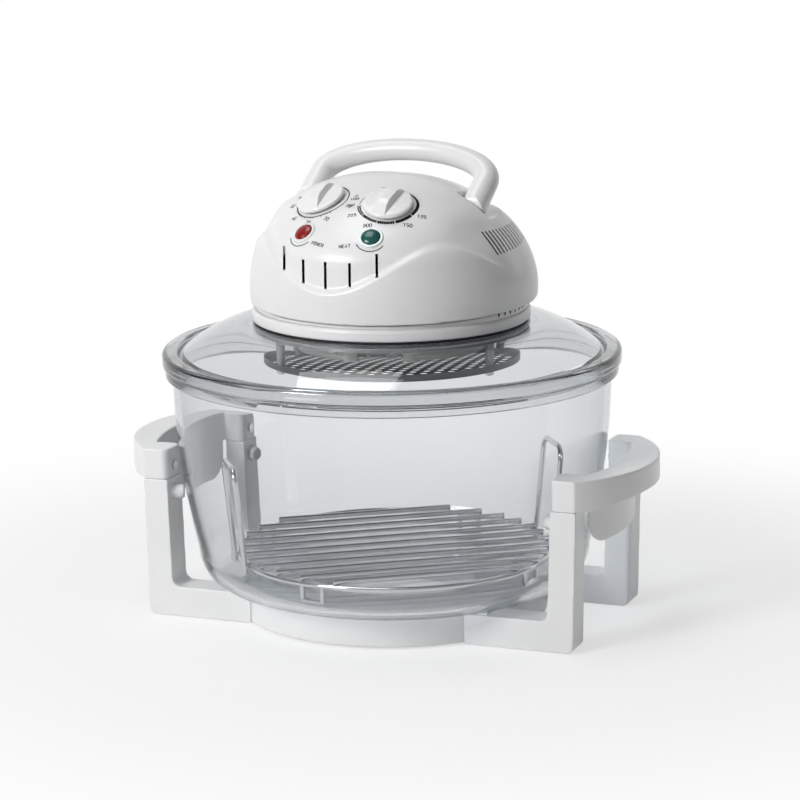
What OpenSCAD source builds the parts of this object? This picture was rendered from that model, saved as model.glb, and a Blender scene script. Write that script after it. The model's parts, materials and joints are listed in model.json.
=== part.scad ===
// Halogen oven: a glass bowl in a handled stand, under a lift-off glass lid that carries
// the heater head. Origin on the table under the bowl's axis, +Z up, front towards -Y.
// The head and the rack stand turned in the bowl, so their modules are drawn about +Z
// with their own front at -Y and are turned into place at the end.

/* [Stand] */
// Outer radius of the base ring
ring_r = 109.5; // [104:0.5:118]
// Inner radius of the base ring
ring_bore_r = 58; // [45:0.5:64]
// Height of the base ring
ring_h = 20.5; // [18:0.5:26]
// Gap between the base ring and the table
ring_lift = 1.5; // [1:0.1:3]
// How far the foot of a post stands out past the bowl's wall
post_out = 4.3; // [4:0.1:12]
// Distance between the centre lines of the front and rear arms
arm_pitch = 126; // [116:1:132]
// Thickness of an arm and its post, front to back
arm_t = 24; // [20:0.5:28]
// Height of an arm above its rubber foot
arm_h = 21.5; // [18:0.5:26]
// Width of a post
post_w = 18.5; // [15:0.5:20]
// Height of a post above its arm
post_h = 77.5; // [65:0.5:84]
// Outward lean of a post, degrees
post_lean = 1.5; // [0:0.1:3]
// Corner radius of a post
post_corner = 5; // [2:0.5:7]
// Radius of the inner corner between arm and post
arm_fillet = 6; // [3:0.5:12]
// How far a rubber foot stands proud
foot_proud = 0.5; // [0.3:0.1:1.5]
// Radius of a rubber foot
foot_r = 6; // [4:0.5:7]

/* [Side handles] */
// Height of a side handle's outer skirt at the posts
bar_h = 22; // [18:0.5:28]
// How far a side handle bulges out past the feet of the posts
bar_bulge = 34; // [28:0.5:42]
// Width of a side handle across its middle
bar_w = 23; // [18:0.5:28]
// Wall of a side handle
bar_wall = 2.5; // [2:0.1:4]
// Rise of the skirt's lower edge at mid handle
bar_arch = 4.5; // [2:0.5:8]
// Depth of the heat apron below the handle's top
apron_h = 50; // [38:1:60]
// Corner radius of the apron's lower edge
apron_corner = 18; // [8:1:20]
// Height of the bowl bumpers above the table
bumper_z = 89; // [60:1:92]
// Radius of a bowl bumper
bumper_r = 5.2; // [4:0.1:6]

/* [Bowl] */
// Height of the bowl
bowl_h = 158.4; // [140:0.1:180]
// Outer radius of the bowl just under its rim
bowl_neck_r = 155.2; // [150:0.1:160]
// How much wider the bowl is under its rim than over its floor
bowl_taper = 15.4; // [10:0.1:18]
// Outer radius of the curve between bottom and wall
bowl_corner = 26; // [18:0.5:34]
// Wall of the bowl
bowl_wall = 4.6; // [3.5:0.1:6]
// How far the bowl's rim stands out past its wall
bowl_rim_out = 5.3; // [4:0.1:7]
// Height of the bowl's rim
bowl_rim_h = 8.1; // [6:0.1:12]
// Thickness of the pads that the bowl stands on, above the arms
pad_proud = 1; // [0.6:0.1:3]

/* [Rack] */
// Gap between the middle of the rack's ring and the bowl's wall
rack_gap = 24.4; // [14:0.1:30]
// Thickness of the rack's wire
wire_d = 4; // [3:0.1:5]
// Height of the rack's deck above the bowl's floor
rack_leg_h = 16; // [12:0.5:30]
// Height of a rack handle above the deck
rack_grip_h = 70; // [50:1:78]
// Width of a rack handle
rack_grip_w = 41; // [30:1:50]
// Distance between the rack's cross wires
rack_pitch = 18; // [12:0.5:26]

/* [Glass lid] */
// How far the lid's rim stands out past the bowl's
lid_over = 2; // [0.5:0.1:4]
// Height of the lid's rim
lid_rim_h = 9.7; // [8:0.1:13]
// Width of the lid's rim
lid_rim_w = 11.7; // [9:0.1:14]
// Rise of the glass from the lid's lowest face to its highest
lid_rise = 30; // [24:0.1:36]
// Thickness of the glass
lid_t = 5; // [4:0.1:7]
// Width of the glass's edge under the collar
lid_seat_w = 6.8; // [5:0.1:7]
// Depth of the lip that centres the lid in the bowl
lid_lip_h = 5; // [3:0.1:7]

/* [Head] */
// Outer radius of the collar
collar_r = 98.3; // [94:0.1:103]
// Height of the collar
collar_h = 8.5; // [7:0.1:12]
// Depth of the groove above the collar
neck_in = 5.1; // [4.9:0.1:6]
// Height of the neck's top above the collar's underside
neck_h = 22; // [20:0.5:26]
// Wall of the housing
shell_t = 2.8; // [2:0.1:3.4]
// Height of the housing's top above the collar's underside
head_h = 102; // [98:0.5:112]
// Depth of the crease around the control panel
crease_d = 3.2; // [1:0.1:3.5]
// Height of the seat that the folded handle lies on
shelf_z = 75; // [73:0.5:77]
// Width of a slot in the control panel
slot_w = 1.8; // [1.2:0.1:3]
// Distance between the slots in the control panel
slot_pitch = 18; // [14:0.5:19]
// Number of slanted vents on each side
vent_count = 12; // [6:1:12]
// Width of a slanted vent
vent_w = 1.4; // [1:0.1:1.8]

/* [Controls] */
// Distance between the knobs
knob_pitch = 52; // [46:0.5:58]
// Distance of the knobs in front of the head's axis
knob_y = 51.6; // [46:0.1:56]
// Radius of a knob
knob_r = 17; // [14:0.5:19]
// Height of a knob over its grip
knob_h = 12.5; // [11.5:0.5:16]
// Radius of a control shaft
stem_r = 3; // [2.5:0.1:3.5]
// Distance between the lamps
lamp_pitch = 52; // [44:0.5:58]
// Distance of the lamps in front of the head's axis
lamp_y = 77.3; // [74:0.1:80]
// Radius of a lamp's lens
lens_r = 6.8; // [5:0.1:8]
// Radius of a lens's bezel
bezel_r = 8.6; // [8.2:0.1:9.5]

/* [Carry handle] */
// Distance between the handle's arms, centre to centre
bail_w = 130; // [124:0.5:134]
// Reach of the handle from its pivots to the middle of its grip
bail_reach = 45.6; // [43:0.1:52]
// Length of the straight part of the handle's arms
bail_leg = 18; // [12:0.5:24]
// Radius of the handle's grip
bail_r = 7.8; // [7:0.1:8.6]
// Radius of the handle's arms at their pivots
bail_arm_r = 9; // [7.5:0.1:9.2]
// Gap between the handle's arms and the seat under them
bail_gap = 0.5; // [0.3:0.1:2]
// Distance of the pivots behind the head's axis
pivot_y = 5.5; // [4.5:0.1:7]
// Radius of a pivot pin
pivot_r = 3; // [2:0.1:4]
// Lean of the handle back from upright, degrees
bail_lean = 52; // [0:1:85]

/* [Heater and fan] */
// Radius of the halogen tube's ring
tube_ring_r = 60; // [55:0.5:64]
// Radius of the halogen tube
tube_r = 5; // [4:0.1:6]
// Depth of the tube's centre below the collar
tube_z = 14; // [12:0.5:15]
// How far the heater guard stays inside the collar
guard_in = 8.3; // [5:0.1:12]
// Depth of the guard's floor below the collar
guard_z = 29; // [27:0.5:30]
// Radius of a hole in the guard
guard_hole_r = 2.6; // [1.5:0.1:3]
// Distance between the holes in the guard
guard_pitch = 10; // [8:0.5:14]
// Gap between the reflector and the edge of the glass
pan_gap = 11.5; // [11:0.1:14]
// Radius of the motor's shaft
shaft_r = 2.5; // [2:0.1:3]
// Radius of the fan that stirs the hot air
air_fan_r = 38; // [30:0.5:44]
// Radius of the fan that cools the motor
cool_fan_r = 30; // [24:0.5:31]

/* [Hidden] */
$fn = 72;

// Turn of the head and of the rack in the bowl, as the object was photographed
head_turn = -6.4;
rack_turn = 35.6;

// Clearances
seat_gap = 0.3;    // between pieces that rest on each other but come apart
plug_gap = 0.15;   // round a tongue in its pocket
run_gap = 0.05;    // radial, round a turning shaft or a screw
past = 1;          // how far a cut runs past the face it opens

white = [0.93, 0.93, 0.92];
steel = [0.62, 0.63, 0.65];
glass = [0.80, 0.88, 0.90, 0.35];
dark = [0.13, 0.13, 0.14];

// Heights of the stand, the bowl and the lid
arm_top = foot_proud + arm_h;
ring_top = ring_lift + ring_h;
post_top = arm_top + post_h;
bar_top = post_top + bar_h;
bowl_z = max(arm_top, ring_top) + pad_proud + seat_gap;
bowl_top = bowl_z + bowl_h;
lid_z = bowl_top + seat_gap;
lid_top = lid_z + lid_rise;
gasket_t = 1;
head_z = lid_top + gasket_t;
bowl_low_r = bowl_neck_r - bowl_taper;
bowl_flat_r = bowl_low_r - bowl_corner;
bowl_rim_r = bowl_neck_r + bowl_rim_out;
lid_r = bowl_rim_r + lid_over;
lid_hole_r = collar_r - lid_seat_w;
neck_r = collar_r - neck_in;
guard_r = collar_r - guard_in;
pan_r = lid_hole_r - pan_gap;
rack_r = bowl_low_r - bowl_wall - rack_gap;
bowl_curve_z = bowl_z + bowl_corner;
bowl_under_rim = bowl_top - bowl_rim_h;
bowl_floor = bowl_z + bowl_wall;

// Screws: shank and head
screw_r = 1.95;
screw_head_r = 3.5;
screw_head_h = 2.4;

module screw(length) {
    translate([0, 0, -screw_head_h]) cylinder(r = screw_head_r, h = screw_head_h);
    cylinder(r = screw_r, h = length);
}

// A rectangle with round corners, about its centre
module round_rect(w, h, r) {
    square([w - 2 * r, h], center = true);
    square([w, h - 2 * r], center = true);
    for (x = [-1, 1], y = [-1, 1]) translate([x * (w / 2 - r), y * (h / 2 - r)]) circle(r);
}

// Points on an arc
function arc(cx, cy, r, from, to, steps = 10) =
    [for (i = [0:steps]) let (a = from + (to - from) * i / steps) [cx + r * cos(a), cy + r * sin(a)]];

// Stand

arm_y = arm_pitch / 2;
post_x = bowl_neck_r + post_out;
lean_shift = post_h * tan(post_lean);
tongue_w = 16;
tongue_h = 11;
tongue_x = 68;     // where a tongue ends inside the ring
tongue_z = ring_lift + ring_h / 2 - tongue_h / 2;
leg_screw_x = 75;
foot_x = post_x - post_w / 2 - 0.5;

module each_leg() {
    for (sx = [0, 1], sy = [0, 1]) mirror([sx, 0, 0]) mirror([0, sy, 0]) children();
}

module base_ring() color(white) difference() {
    translate([0, 0, ring_lift]) cylinder(r = ring_r, h = ring_h);
    translate([0, 0, ring_lift - past]) cylinder(r = ring_bore_r, h = ring_h + 2 * past);
    each_leg() {
        translate([tongue_x - plug_gap, arm_y - tongue_w / 2 - plug_gap, tongue_z - plug_gap])
            cube([ring_r, tongue_w + 2 * plug_gap, tongue_h + 2 * plug_gap]);
        translate([leg_screw_x, arm_y, ring_lift - past]) {
            cylinder(r = screw_r + run_gap, h = ring_h / 2);
            cylinder(r = screw_head_r + plug_gap, h = past + screw_head_h + seat_gap);
        }
        translate([pad_x, arm_y, arm_top - pad_sink]) linear_extrude(pad_sink + past) pad_outline(plug_gap);
    }
}

// Side view of an arm and its post, in X and Z
module leg_side() {
    inner_x = post_x - post_w;
    polygon(concat(
        [[tongue_x, foot_proud], [post_x - post_corner, foot_proud]],
        arc(post_x - post_corner, foot_proud + post_corner, post_corner, -90, 0),
        [[post_x + lean_shift, post_top], [inner_x + lean_shift, post_top]],
        [for (p = arc(inner_x - arm_fillet, arm_top + arm_fillet, arm_fillet, 0, -90)) p],
        [[tongue_x, arm_top]]));
}

bumper_turn = atan(arm_y / (post_x - post_w));

module leg() color(white) difference() {
    union() {
        difference() {
            intersection() {
                translate([0, arm_y + arm_t / 2, 0]) rotate([90, 0, 0]) linear_extrude(arm_t) leg_side();
                translate([post_x / 2 + lean_shift / 2, arm_y, 0]) linear_extrude(post_top)
                    round_rect(post_x + lean_shift, arm_t, post_corner);
            }
            cylinder(r = ring_r + plug_gap, h = post_top);
        }
        translate([tongue_x, arm_y - tongue_w / 2, tongue_z])
            cube([sqrt(pow(ring_r, 2) - pow(arm_y - tongue_w / 2, 2)) + 4 - tongue_x, tongue_w, tongue_h]);
        translate([post_x - post_w / 2 + lean_shift, arm_y, post_top - past])
            linear_extrude(past + bar_tongue_h)
                round_rect(post_w - 2 * (bar_wall + plug_gap), arm_t - 2 * (bar_wall + plug_gap), 2);
    }
    translate([leg_screw_x, arm_y, tongue_z - past]) cylinder(r = screw_r + run_gap, h = past + leg_screw_l);
    translate([foot_x, arm_y, 0]) cylinder(r = foot_r + plug_gap, h = foot_proud + foot_sink);
    translate([pad_x, arm_y, arm_top - pad_sink]) linear_extrude(pad_sink + past) pad_outline(plug_gap);
    rotate([0, 0, bumper_turn]) translate([bumper_tip, 0, bumper_z]) rotate([0, 90, 0])
        cylinder(r = bumper_r + run_gap, h = bumper_l + seat_gap);
    translate([post_x - post_w + lean_shift, arm_y, bar_screw_z]) rotate([0, 90, 0])
        cylinder(r = screw_r + run_gap, h = bar_screw_l + seat_gap);
}

leg_screw_l = 8;

module leg_front_right() mirror([0, 1, 0]) leg();
module leg_front_left() mirror([1, 0, 0]) mirror([0, 1, 0]) leg();
module leg_rear_right() leg();
module leg_rear_left() mirror([1, 0, 0]) leg();

module leg_screws() color(steel) each_leg()
    translate([leg_screw_x, arm_y, ring_lift + screw_head_h + seat_gap])
        screw(tongue_z - ring_lift - screw_head_h + leg_screw_l - 1);

foot_sink = 2;

module rubber_feet() color(dark) each_leg()
    translate([foot_x, arm_y, 0]) cylinder(r = foot_r, h = foot_proud + foot_sink);

// Pads under the bowl, on the arms beside the ring
pad_sink = 1;
pad_w = 8;
pad_l = 16;
pad_x = sqrt(pow(bowl_flat_r - 1.2, 2) - pow(arm_y, 2)) - pad_w / 2 + 2.5;

module pad_outline(grow = 0) {
    square([pad_w + 2 * grow, pad_l + 2 * grow], center = true);
}

module bowl_pads() color([0.96, 0.96, 0.95]) each_leg() translate([pad_x, arm_y, arm_top - pad_sink])
    linear_extrude(pad_sink + bowl_z - seat_gap - arm_top) pad_outline();

// Side handles: a channel with an outer skirt and a deeper heat apron on the inside
bar_out_x = post_x + bar_bulge;
bar_in_x = bar_out_x - bar_w;
bar_end_y = arm_y + arm_t / 2;
bar_end_x = post_x + lean_shift;
bar_out_r = (pow(bar_end_y, 2) + pow(bar_out_x - bar_end_x + 1, 2)) / (2 * (bar_out_x - bar_end_x + 1));
bar_in_deep = 14;  // how far the handle's inner curve bulges past the arms
bar_in_r = (pow(arm_y, 2) + pow(bar_in_deep, 2)) / (2 * bar_in_deep);
bar_tongue_h = 16;
bar_screw_z = post_top + 9;
bar_screw_l = 9;
apron_span = 2 * (arm_y - arm_t / 2) - 2 * seat_gap;

// Crescent between the outer and the inner arc, drawn in by a wall
module crescent(inset, end) {
    intersection() {
        difference() {
            translate([bar_out_x - bar_out_r, 0]) circle(r = bar_out_r - inset, $fn = 120);
            translate([bar_in_x - bar_in_r, 0]) circle(r = bar_in_r + inset, $fn = 120);
        }
        translate([post_x - post_w, -end]) square([bar_bulge + post_w + 10, 2 * end]);
    }
}

module bar_plan() {
    crescent(0, bar_end_y);
    for (s = [-1, 1]) translate([bar_end_x - post_w / 2, s * arm_y]) round_rect(post_w, arm_t, post_corner);
}

module handle_bar() color(white) difference() {
    union() {
        difference() {
            translate([0, 0, post_top]) linear_extrude(bar_h) bar_plan();
            translate([0, 0, post_top - past]) linear_extrude(bar_h - bar_wall + past)
                crescent(bar_wall, arm_y - arm_t / 2);
            arch_r = (pow(arm_y, 2) + pow(bar_arch, 2)) / (2 * bar_arch);
            translate([bar_in_x, 0, post_top + bar_arch - arch_r]) rotate([0, 90, 0])
                cylinder(r = arch_r, h = bar_w + 4, $fn = 180);
        }
        intersection() {
            translate([0, 0, bar_top - apron_h]) linear_extrude(apron_h - bar_wall / 2) difference() {
                translate([bar_in_x - bar_in_r, 0]) circle(r = bar_in_r + bar_wall, $fn = 120);
                translate([bar_in_x - bar_in_r, 0]) circle(r = bar_in_r, $fn = 120);
            }
            translate([post_x - post_w, 0, bar_top - apron_h]) rotate([90, 0, 90])
                linear_extrude(bar_w + post_w)
                    translate([0, apron_h]) round_rect(apron_span, 2 * apron_h, apron_corner);
        }
    }
    for (s = [-1, 1]) {
        translate([bar_end_x - post_w / 2, s * arm_y, post_top - past])
            linear_extrude(past + bar_tongue_h + seat_gap)
                round_rect(post_w - 2 * bar_wall, arm_t - 2 * bar_wall, 2 + plug_gap);
        translate([bar_end_x - post_w - past, s * arm_y, bar_screw_z]) rotate([0, 90, 0]) {
            cylinder(r = screw_r + run_gap, h = post_w / 2);
        }
    }
}

module handle_right() handle_bar();
module handle_left() mirror([1, 0, 0]) handle_bar();

module handle_screws() color(steel) each_leg()
    translate([bar_end_x - post_w - seat_gap / 2, arm_y, bar_screw_z]) rotate([0, 90, 0]) {
        translate([0, 0, -1.4]) cylinder(r = screw_head_r, h = 1.4);
        cylinder(r = screw_r, h = bar_screw_l);
    }

// Bumpers on the posts that keep the bowl centred
bumper_tip = bowl_outer(bumper_z + bumper_r) + seat_gap;
bumper_l = (post_x - post_w) / cos(bumper_turn) + 5 - bumper_tip;

module bowl_bumpers() color([0.95, 0.95, 0.94]) each_leg()
    rotate([0, 0, bumper_turn]) translate([bumper_tip, 0, bumper_z]) rotate([0, 90, 0]) rotate_extrude()
        polygon(concat(
            [[0, bumper_l], [0, 0], [bumper_r - 2, 0]],
            arc(bumper_r - 2, 2, 2, -90, 0, 6),
            [[bumper_r, bumper_l]]));

// Bowl

// Outer radius of the bowl's wall at a height above the table
function bowl_outer(z) =
    let (s = max(0, min(1, (z - bowl_curve_z) / (bowl_under_rim - bowl_curve_z))))
    bowl_neck_r - (bowl_neck_r - bowl_low_r) * pow(1 - s, 1.9);

module glass_bowl() color(glass) rotate_extrude($fn = 180)
    polygon(concat(
        [[0, bowl_z]],
        arc(bowl_flat_r, bowl_curve_z, bowl_corner, -90, 0, 9),
        [for (i = [1:9]) let (z = bowl_curve_z + (bowl_under_rim - bowl_curve_z) * i / 10)
            [bowl_outer(z), z]],
        [[bowl_neck_r, bowl_under_rim - 1.5], [bowl_rim_r - 1.5, bowl_under_rim + 0.6]],
        [[bowl_rim_r, bowl_under_rim + 2], [bowl_rim_r, bowl_top - 1], [bowl_rim_r - 1, bowl_top]],
        [[bowl_neck_r - bowl_wall + 1, bowl_top], [bowl_neck_r - bowl_wall, bowl_top - 1]],
        [for (i = [10:-1:1]) let (z = bowl_curve_z + (bowl_under_rim - bowl_curve_z) * i / 10)
            [bowl_outer(z) - bowl_wall, z]],
        arc(bowl_flat_r, bowl_curve_z, bowl_corner - bowl_wall, 0, -90, 9),
        [[0, bowl_z + bowl_wall]]));

// Rack: a ring with cross wires on four feet, with two tall loops to lift it by

rack_z = bowl_floor + rack_leg_h;
wire_r = wire_d / 2;
grip_bend = 9;
grip_lean = 5.5;

module torus(big, small) {
    rotate_extrude($fn = 120) translate([big, 0]) circle(r = small, $fn = 24);
}

module turned_rack() rotate([0, 0, rack_turn]) children();

module rack_ring() color(steel) turned_rack() {
    translate([0, 0, rack_z]) torus(rack_r, wire_r);
}

rack_bars_side = floor((rack_r - 8) / rack_pitch);

module rack_bars() color(steel) turned_rack() translate([0, 0, rack_z + wire_d - 0.2])
    for (i = [-rack_bars_side:rack_bars_side]) {
        half = sqrt(pow(rack_r, 2) - pow(i * rack_pitch, 2)) + 1;
        translate([-half, i * rack_pitch, 0]) rotate([0, 90, 0])
            cylinder(r = wire_r, h = 2 * half, $fn = 24);
    }

module rack_grip() {
    side = rack_grip_w / 2;
    top = rack_grip_h - grip_bend;
    for (s = [-1, 1]) {
        translate([0, s * side, -wire_d - 1]) cylinder(r = wire_r, h = top + wire_d + 1, $fn = 24);
        translate([0, s * (side - grip_bend), top]) rotate([90, 0, 90]) rotate([0, 0, s < 0 ? 90 : 0])
            rotate_extrude(angle = 90) translate([grip_bend, 0]) circle(r = wire_r, $fn = 24);
    }
    translate([0, -side + grip_bend, rack_grip_h]) rotate([-90, 0, 0])
        cylinder(r = wire_r, h = rack_grip_w - 2 * grip_bend, $fn = 24);
}

rack_grip_x = sqrt(pow(rack_r + wire_d - 0.2, 2) - pow(rack_grip_w / 2, 2));

module rack_grips() color(steel) turned_rack() for (a = [0, 180])
    rotate([0, 0, a]) translate([rack_grip_x, 0, rack_z]) rotate([0, grip_lean, 0]) rack_grip();

module rack_feet() color(steel) turned_rack() for (a = [45:90:315])
    rotate([0, 0, a]) translate([rack_r - 1, 0, bowl_floor + seat_gap + wire_r]) {
        for (s = [-1, 1]) translate([0, s * 8, 0]) {
            cylinder(r = wire_r, h = rack_leg_h - wire_r - 1, $fn = 24);
            sphere(r = wire_r, $fn = 24);
        }
        translate([0, -8, 0]) rotate([-90, 0, 0]) cylinder(r = wire_r, h = 16, $fn = 24);
    }

// Glass lid

lid_in_r = lid_r - lid_rim_w;
lid_flat_r = lid_hole_r + 8;
lip_r = bowl_neck_r - bowl_wall - 1.2;

// Height of the lid's upper face at a radius
function lid_face(r) =
    lid_top - (lid_rise - lid_rim_h + 2.5) * pow(max(0, r - lid_flat_r) / (lid_in_r - lid_flat_r), 1.7);

module glass_lid() color(glass) {
    steps = 8;
    face = [for (i = [0:steps]) let (r = lid_flat_r + (lid_in_r - lid_flat_r) * i / steps) [r, lid_face(r)]];
    rotate_extrude($fn = 180) polygon(concat(
        [[lid_hole_r, lid_top - lid_t], [lid_hole_r, lid_top]],
        face,
        [[lid_in_r + 1.2, lid_z + lid_rim_h - 0.8], [lid_in_r + 3, lid_z + lid_rim_h]],
        arc(lid_r - 3, lid_z + lid_rim_h - 3, 3, 90, 0, 4),
        [[lid_r, lid_z + 1], [lid_r - 1, lid_z]],
        [[lip_r, lid_z], [lip_r, lid_z - lid_lip_h], [lip_r - 4, lid_z - lid_lip_h], [lip_r - 4, lid_z]],
        [for (i = [steps - 1:-1:0]) [face[i][0], face[i][1] - lid_t]]));
}

// Head, drawn about +Z with the collar's underside at 0

module on_head() {
    translate([0, 0, head_z]) rotate([0, 0, head_turn]) children();
}

// Things placed round the head are given by their azimuth from the front, towards +X
module at_azimuth(az, r, z) {
    rotate([0, 0, az - 90]) translate([r, 0, z]) children();
}

gasket_in = 1.5;   // how far the gasket stays back under the collar
fix_r = lid_hole_r - 5.5;
boss_r = 4.1;
housing_screw_az = [35, 125, 215, 305];
clamp_screw_az = [0, 90, 180, 270];
guard_post_az = [79, 145, -35, -101];
flange_t = 4;

module lid_gasket() color(dark) on_head() translate([0, 0, -gasket_t]) difference() {
    cylinder(r = collar_r - gasket_in, h = gasket_t);
    translate([0, 0, -past]) cylinder(r = lid_hole_r - 1, h = gasket_t + 2 * past);
}

clamp_top = -gasket_t - lid_t - seat_gap;
clamp_t = 1.8;

module clamp_ring() color(steel) on_head() translate([0, 0, clamp_top - clamp_t]) difference() {
    cylinder(r = lid_hole_r + 5, h = clamp_t);
    translate([0, 0, -past]) cylinder(r = pan_r + 1, h = clamp_t + 2 * past);
    for (az = clamp_screw_az)
        at_azimuth(az, fix_r, -past) cylinder(r = screw_r + run_gap, h = clamp_t + 2 * past);
    for (az = housing_screw_az)
        at_azimuth(az, fix_r, -past) cylinder(r = screw_head_r + 0.5, h = clamp_t + 2 * past);
    for (az = guard_post_az)
        at_azimuth(az, fix_r, -past) cylinder(r = post_pin_r + run_gap, h = clamp_t + 2 * past);
}

module clamp_screws() color(steel) on_head() for (az = clamp_screw_az)
    at_azimuth(az, fix_r, clamp_top - clamp_t) screw(gasket_t + lid_t + clamp_t + flange_t - 0.5);

// Collar with its neck, which goes up inside the housing
tri_w = 3.4;
tri_h = 3;
tri_first_az = 79;
tri_step = 4.6;

module head_collar() color(white) on_head() difference() {
    rotate_extrude($fn = 180) polygon(concat(
        [[70, 0], [collar_r - 1, 0], [collar_r, 1]],
        arc(collar_r - 2.5, collar_h - 2.5, 2.5, 0, 90, 5),
        [[neck_r + 0.6, collar_h], [neck_r, collar_h + 0.8], [neck_r, neck_h]],
        [[neck_r - shell_t, neck_h], [neck_r - shell_t, flange_t], [70, flange_t]]));
    for (az = concat(clamp_screw_az, housing_screw_az))
        at_azimuth(az, fix_r, -past) cylinder(r = screw_r + run_gap, h = flange_t + 2 * past);
    for (az = [tri_first_az:tri_step:360 - tri_first_az])
        at_azimuth(az, neck_r - shell_t - past, collar_h + 0.9) rotate([90, 0, 90])
            linear_extrude(shell_t + 3 * past) polygon([[0, 0], [tri_w / 2, tri_h], [-tri_w / 2, tri_h]]);
}

plate_r = pan_r - 1;
plate_t = 1.2;
plate_top = flange_t + plate_t;

module base_plate() color(steel) on_head() translate([0, 0, flange_t]) difference() {
    cylinder(r = plate_r, h = plate_t);
    translate([0, 0, -past]) cylinder(r = shaft_r + 3, h = plate_t + 2 * past);
    for (p = bracket_holes)
        translate([p[0], p[1], -past]) cylinder(r = 1.5 + run_gap, h = plate_t + 2 * past);
    translate([knob_pitch / 2, -knob_y + 8, -past]) cylinder(r = 3, h = plate_t + 2 * past);
    for (s = [-1, 1]) rotate([0, 0, tube_gap_az + s * tube_gap / 2 - 90])
        translate([tube_ring_r, 0, -past]) cylinder(r = cap_r + 0.6, h = plate_t + 2 * past);
}

// Housing. Its outline is three profiles, over the front, a side and the back, given as
// radius and height. In between, a point moves round with the cosine of the azimuth.
front_line = [[96.8, 11], [97, 23], [96.8, 35], [96.2, 45], [94.8, 56], [87.2, 67],
    [74.5, 77], [60, 86], [43, 93.5], [23, 99.5], [0, 102]];
side_line = [[101.3, 13.5], [101.6, 24], [100.6, 34], [97.6, 45], [93, 56], [86.5, 66.5],
    [78, 76], [66, 85.5], [48, 94.5], [25, 100.3], [0, 102]];
rear_line = [[105.8, 16], [106, 25], [104.5, 34], [101, 45], [95, 56], [85.5, 66],
    [73.5, 74], [58, 83.5], [42, 92], [22, 99], [0, 102]];
line_steps = len(front_line) - 1;

function smooth(x) = let (u = max(0, min(1, x))) u * u * (3 - 2 * u);
function line_at(line, i) = line[max(0, min(line_steps, i))];
function on_line(line, t) =
    let (k = min(line_steps - 1, floor(t * line_steps)), u = t * line_steps - k,
        a = line_at(line, k - 1), b = line_at(line, k), c = line_at(line, k + 1), d = line_at(line, k + 2))
    b + u * ((c - a) + u * ((2 * a - 5 * b + 4 * c - d) + u * (3 * (b - c) + d - a))) / 2;
function round_head(t, az) =
    let (f = on_line(front_line, t), s = on_line(side_line, t), r = on_line(rear_line, t))
    (f + 2 * s + r) / 4 + (f - r) / 2 * cos(az) + (f - 2 * s + r) / 4 * cos(2 * az);

// The crease runs in a wave round the control panel: low at the front, high at crest_az
crease_low = 33;
crease_high = 63;
crest_az = 51;
crease_soft = 5;   // height over which the crease rounds inward
function signed(az) = az > 180 ? az - 360 : az;
function crease_z(az) =
    (crease_low + crease_high) / 2 - (crease_high - crease_low) / 2 * cos(az * 180 / crest_az);
function crease_in(az, z) =
    let (a = abs(signed(az)), fade = 1 - smooth((a - 62) / 24))
    crease_d * fade * smooth((z - crease_z(a)) / crease_soft) * (1 - smooth((z - 72) / 14));
brow_d = 3.5;
// The brow is where the panel swells over the crease at each side
function brow(az, z) =
    let (a = (abs(signed(az)) - 62) / 20, h = (z - 77) / 8)
    brow_d * exp(-a * a - h * h);

// Radius and height of the outside at azimuth az, from t = 0 at the edge to 1 at the top.
// The profiles fit a collar of radius line_collar_r and a head of height line_h.
line_collar_r = 98.3;
line_h = 102;
function head_rz(t, az) =
    let (p = round_head(t, az), z = p[1])
    [max(0, p[0] - crease_in(az, z) + brow(az, z) * smooth((1 - t) * 4)) * collar_r / line_collar_r,
        z * (t < 0.5 ? 1 : 1 + (head_h / line_h - 1) * smooth(2 * t - 1))];
function t_at(r, az, low = 0.25, high = 1, n = 20) =
    let (mid = (low + high) / 2)
    n == 0 ? mid : head_rz(mid, az)[0] > r ? t_at(r, az, mid, high, n - 1) : t_at(r, az, low, mid, n - 1);
function head_top(x, y) = let (az = atan2(x, -y)) head_rz(t_at(norm([x, y]), az), az)[1];

// A closed dome of rings, drawn in by a wall
module dome(inset, around, rings) {
    top = 1 - 0.5 / rings;
    points = concat(
        [for (j = [0:rings - 1], i = [0:around - 1])
            let (az = i * 360 / around, p = head_rz(top * j / (rings - 1), az),
                r = p[0] - inset, z = p[1] - (j == 0 ? past * sign(inset) : inset))
            [r * sin(az), -r * cos(az), z]],
        [[0, 0, head_h - inset], [0, 0, 14 - past * sign(inset)]]);
    last = rings * around;
    faces = concat(
        [for (j = [0:rings - 2], i = [0:around - 1]) let (n = (i + 1) % around)
            [j * around + i, (j + 1) * around + i, j * around + n]],
        [for (j = [0:rings - 2], i = [0:around - 1]) let (n = (i + 1) % around)
            [j * around + n, (j + 1) * around + i, (j + 1) * around + n]],
        [for (i = [0:around - 1]) [(rings - 1) * around + i, last, (rings - 1) * around + (i + 1) % around]],
        [for (i = [0:around - 1]) [(i + 1) % around, last + 1, i]]);
    polyhedron(points = points, faces = faces);
}

// Plan of the crown that stays between the handle's arms
crown_gap = 0.9;   // between the crown and the handle's arms
crown_w = bail_w / 2 - bail_arm_r - crown_gap;
crown_back = bail_reach - bail_r - 1;
pivot_z = shelf_z + bail_arm_r + bail_gap;
seat_front = pivot_y - bail_arm_r - 1;
head_half = 1.3 * collar_r;

// The handle's outline: straight arms, then half an ellipse
function bail_out(t, w, reach) = [w * cos(t), bail_leg + (reach - bail_leg) * sin(t)];

module crown_plan(inset) {
    translate([0, pivot_y])
        polygon([for (i = [0:24]) bail_out(i * 7.5, crown_w - inset, crown_back - inset)]);
    translate([-crown_w + inset, -head_half])
        square([2 * (crown_w - inset), head_half + pivot_y + bail_leg + 0.01]);
    translate([-head_half, -head_half]) square([2 * head_half, head_half + seat_front - inset]);
}

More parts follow.
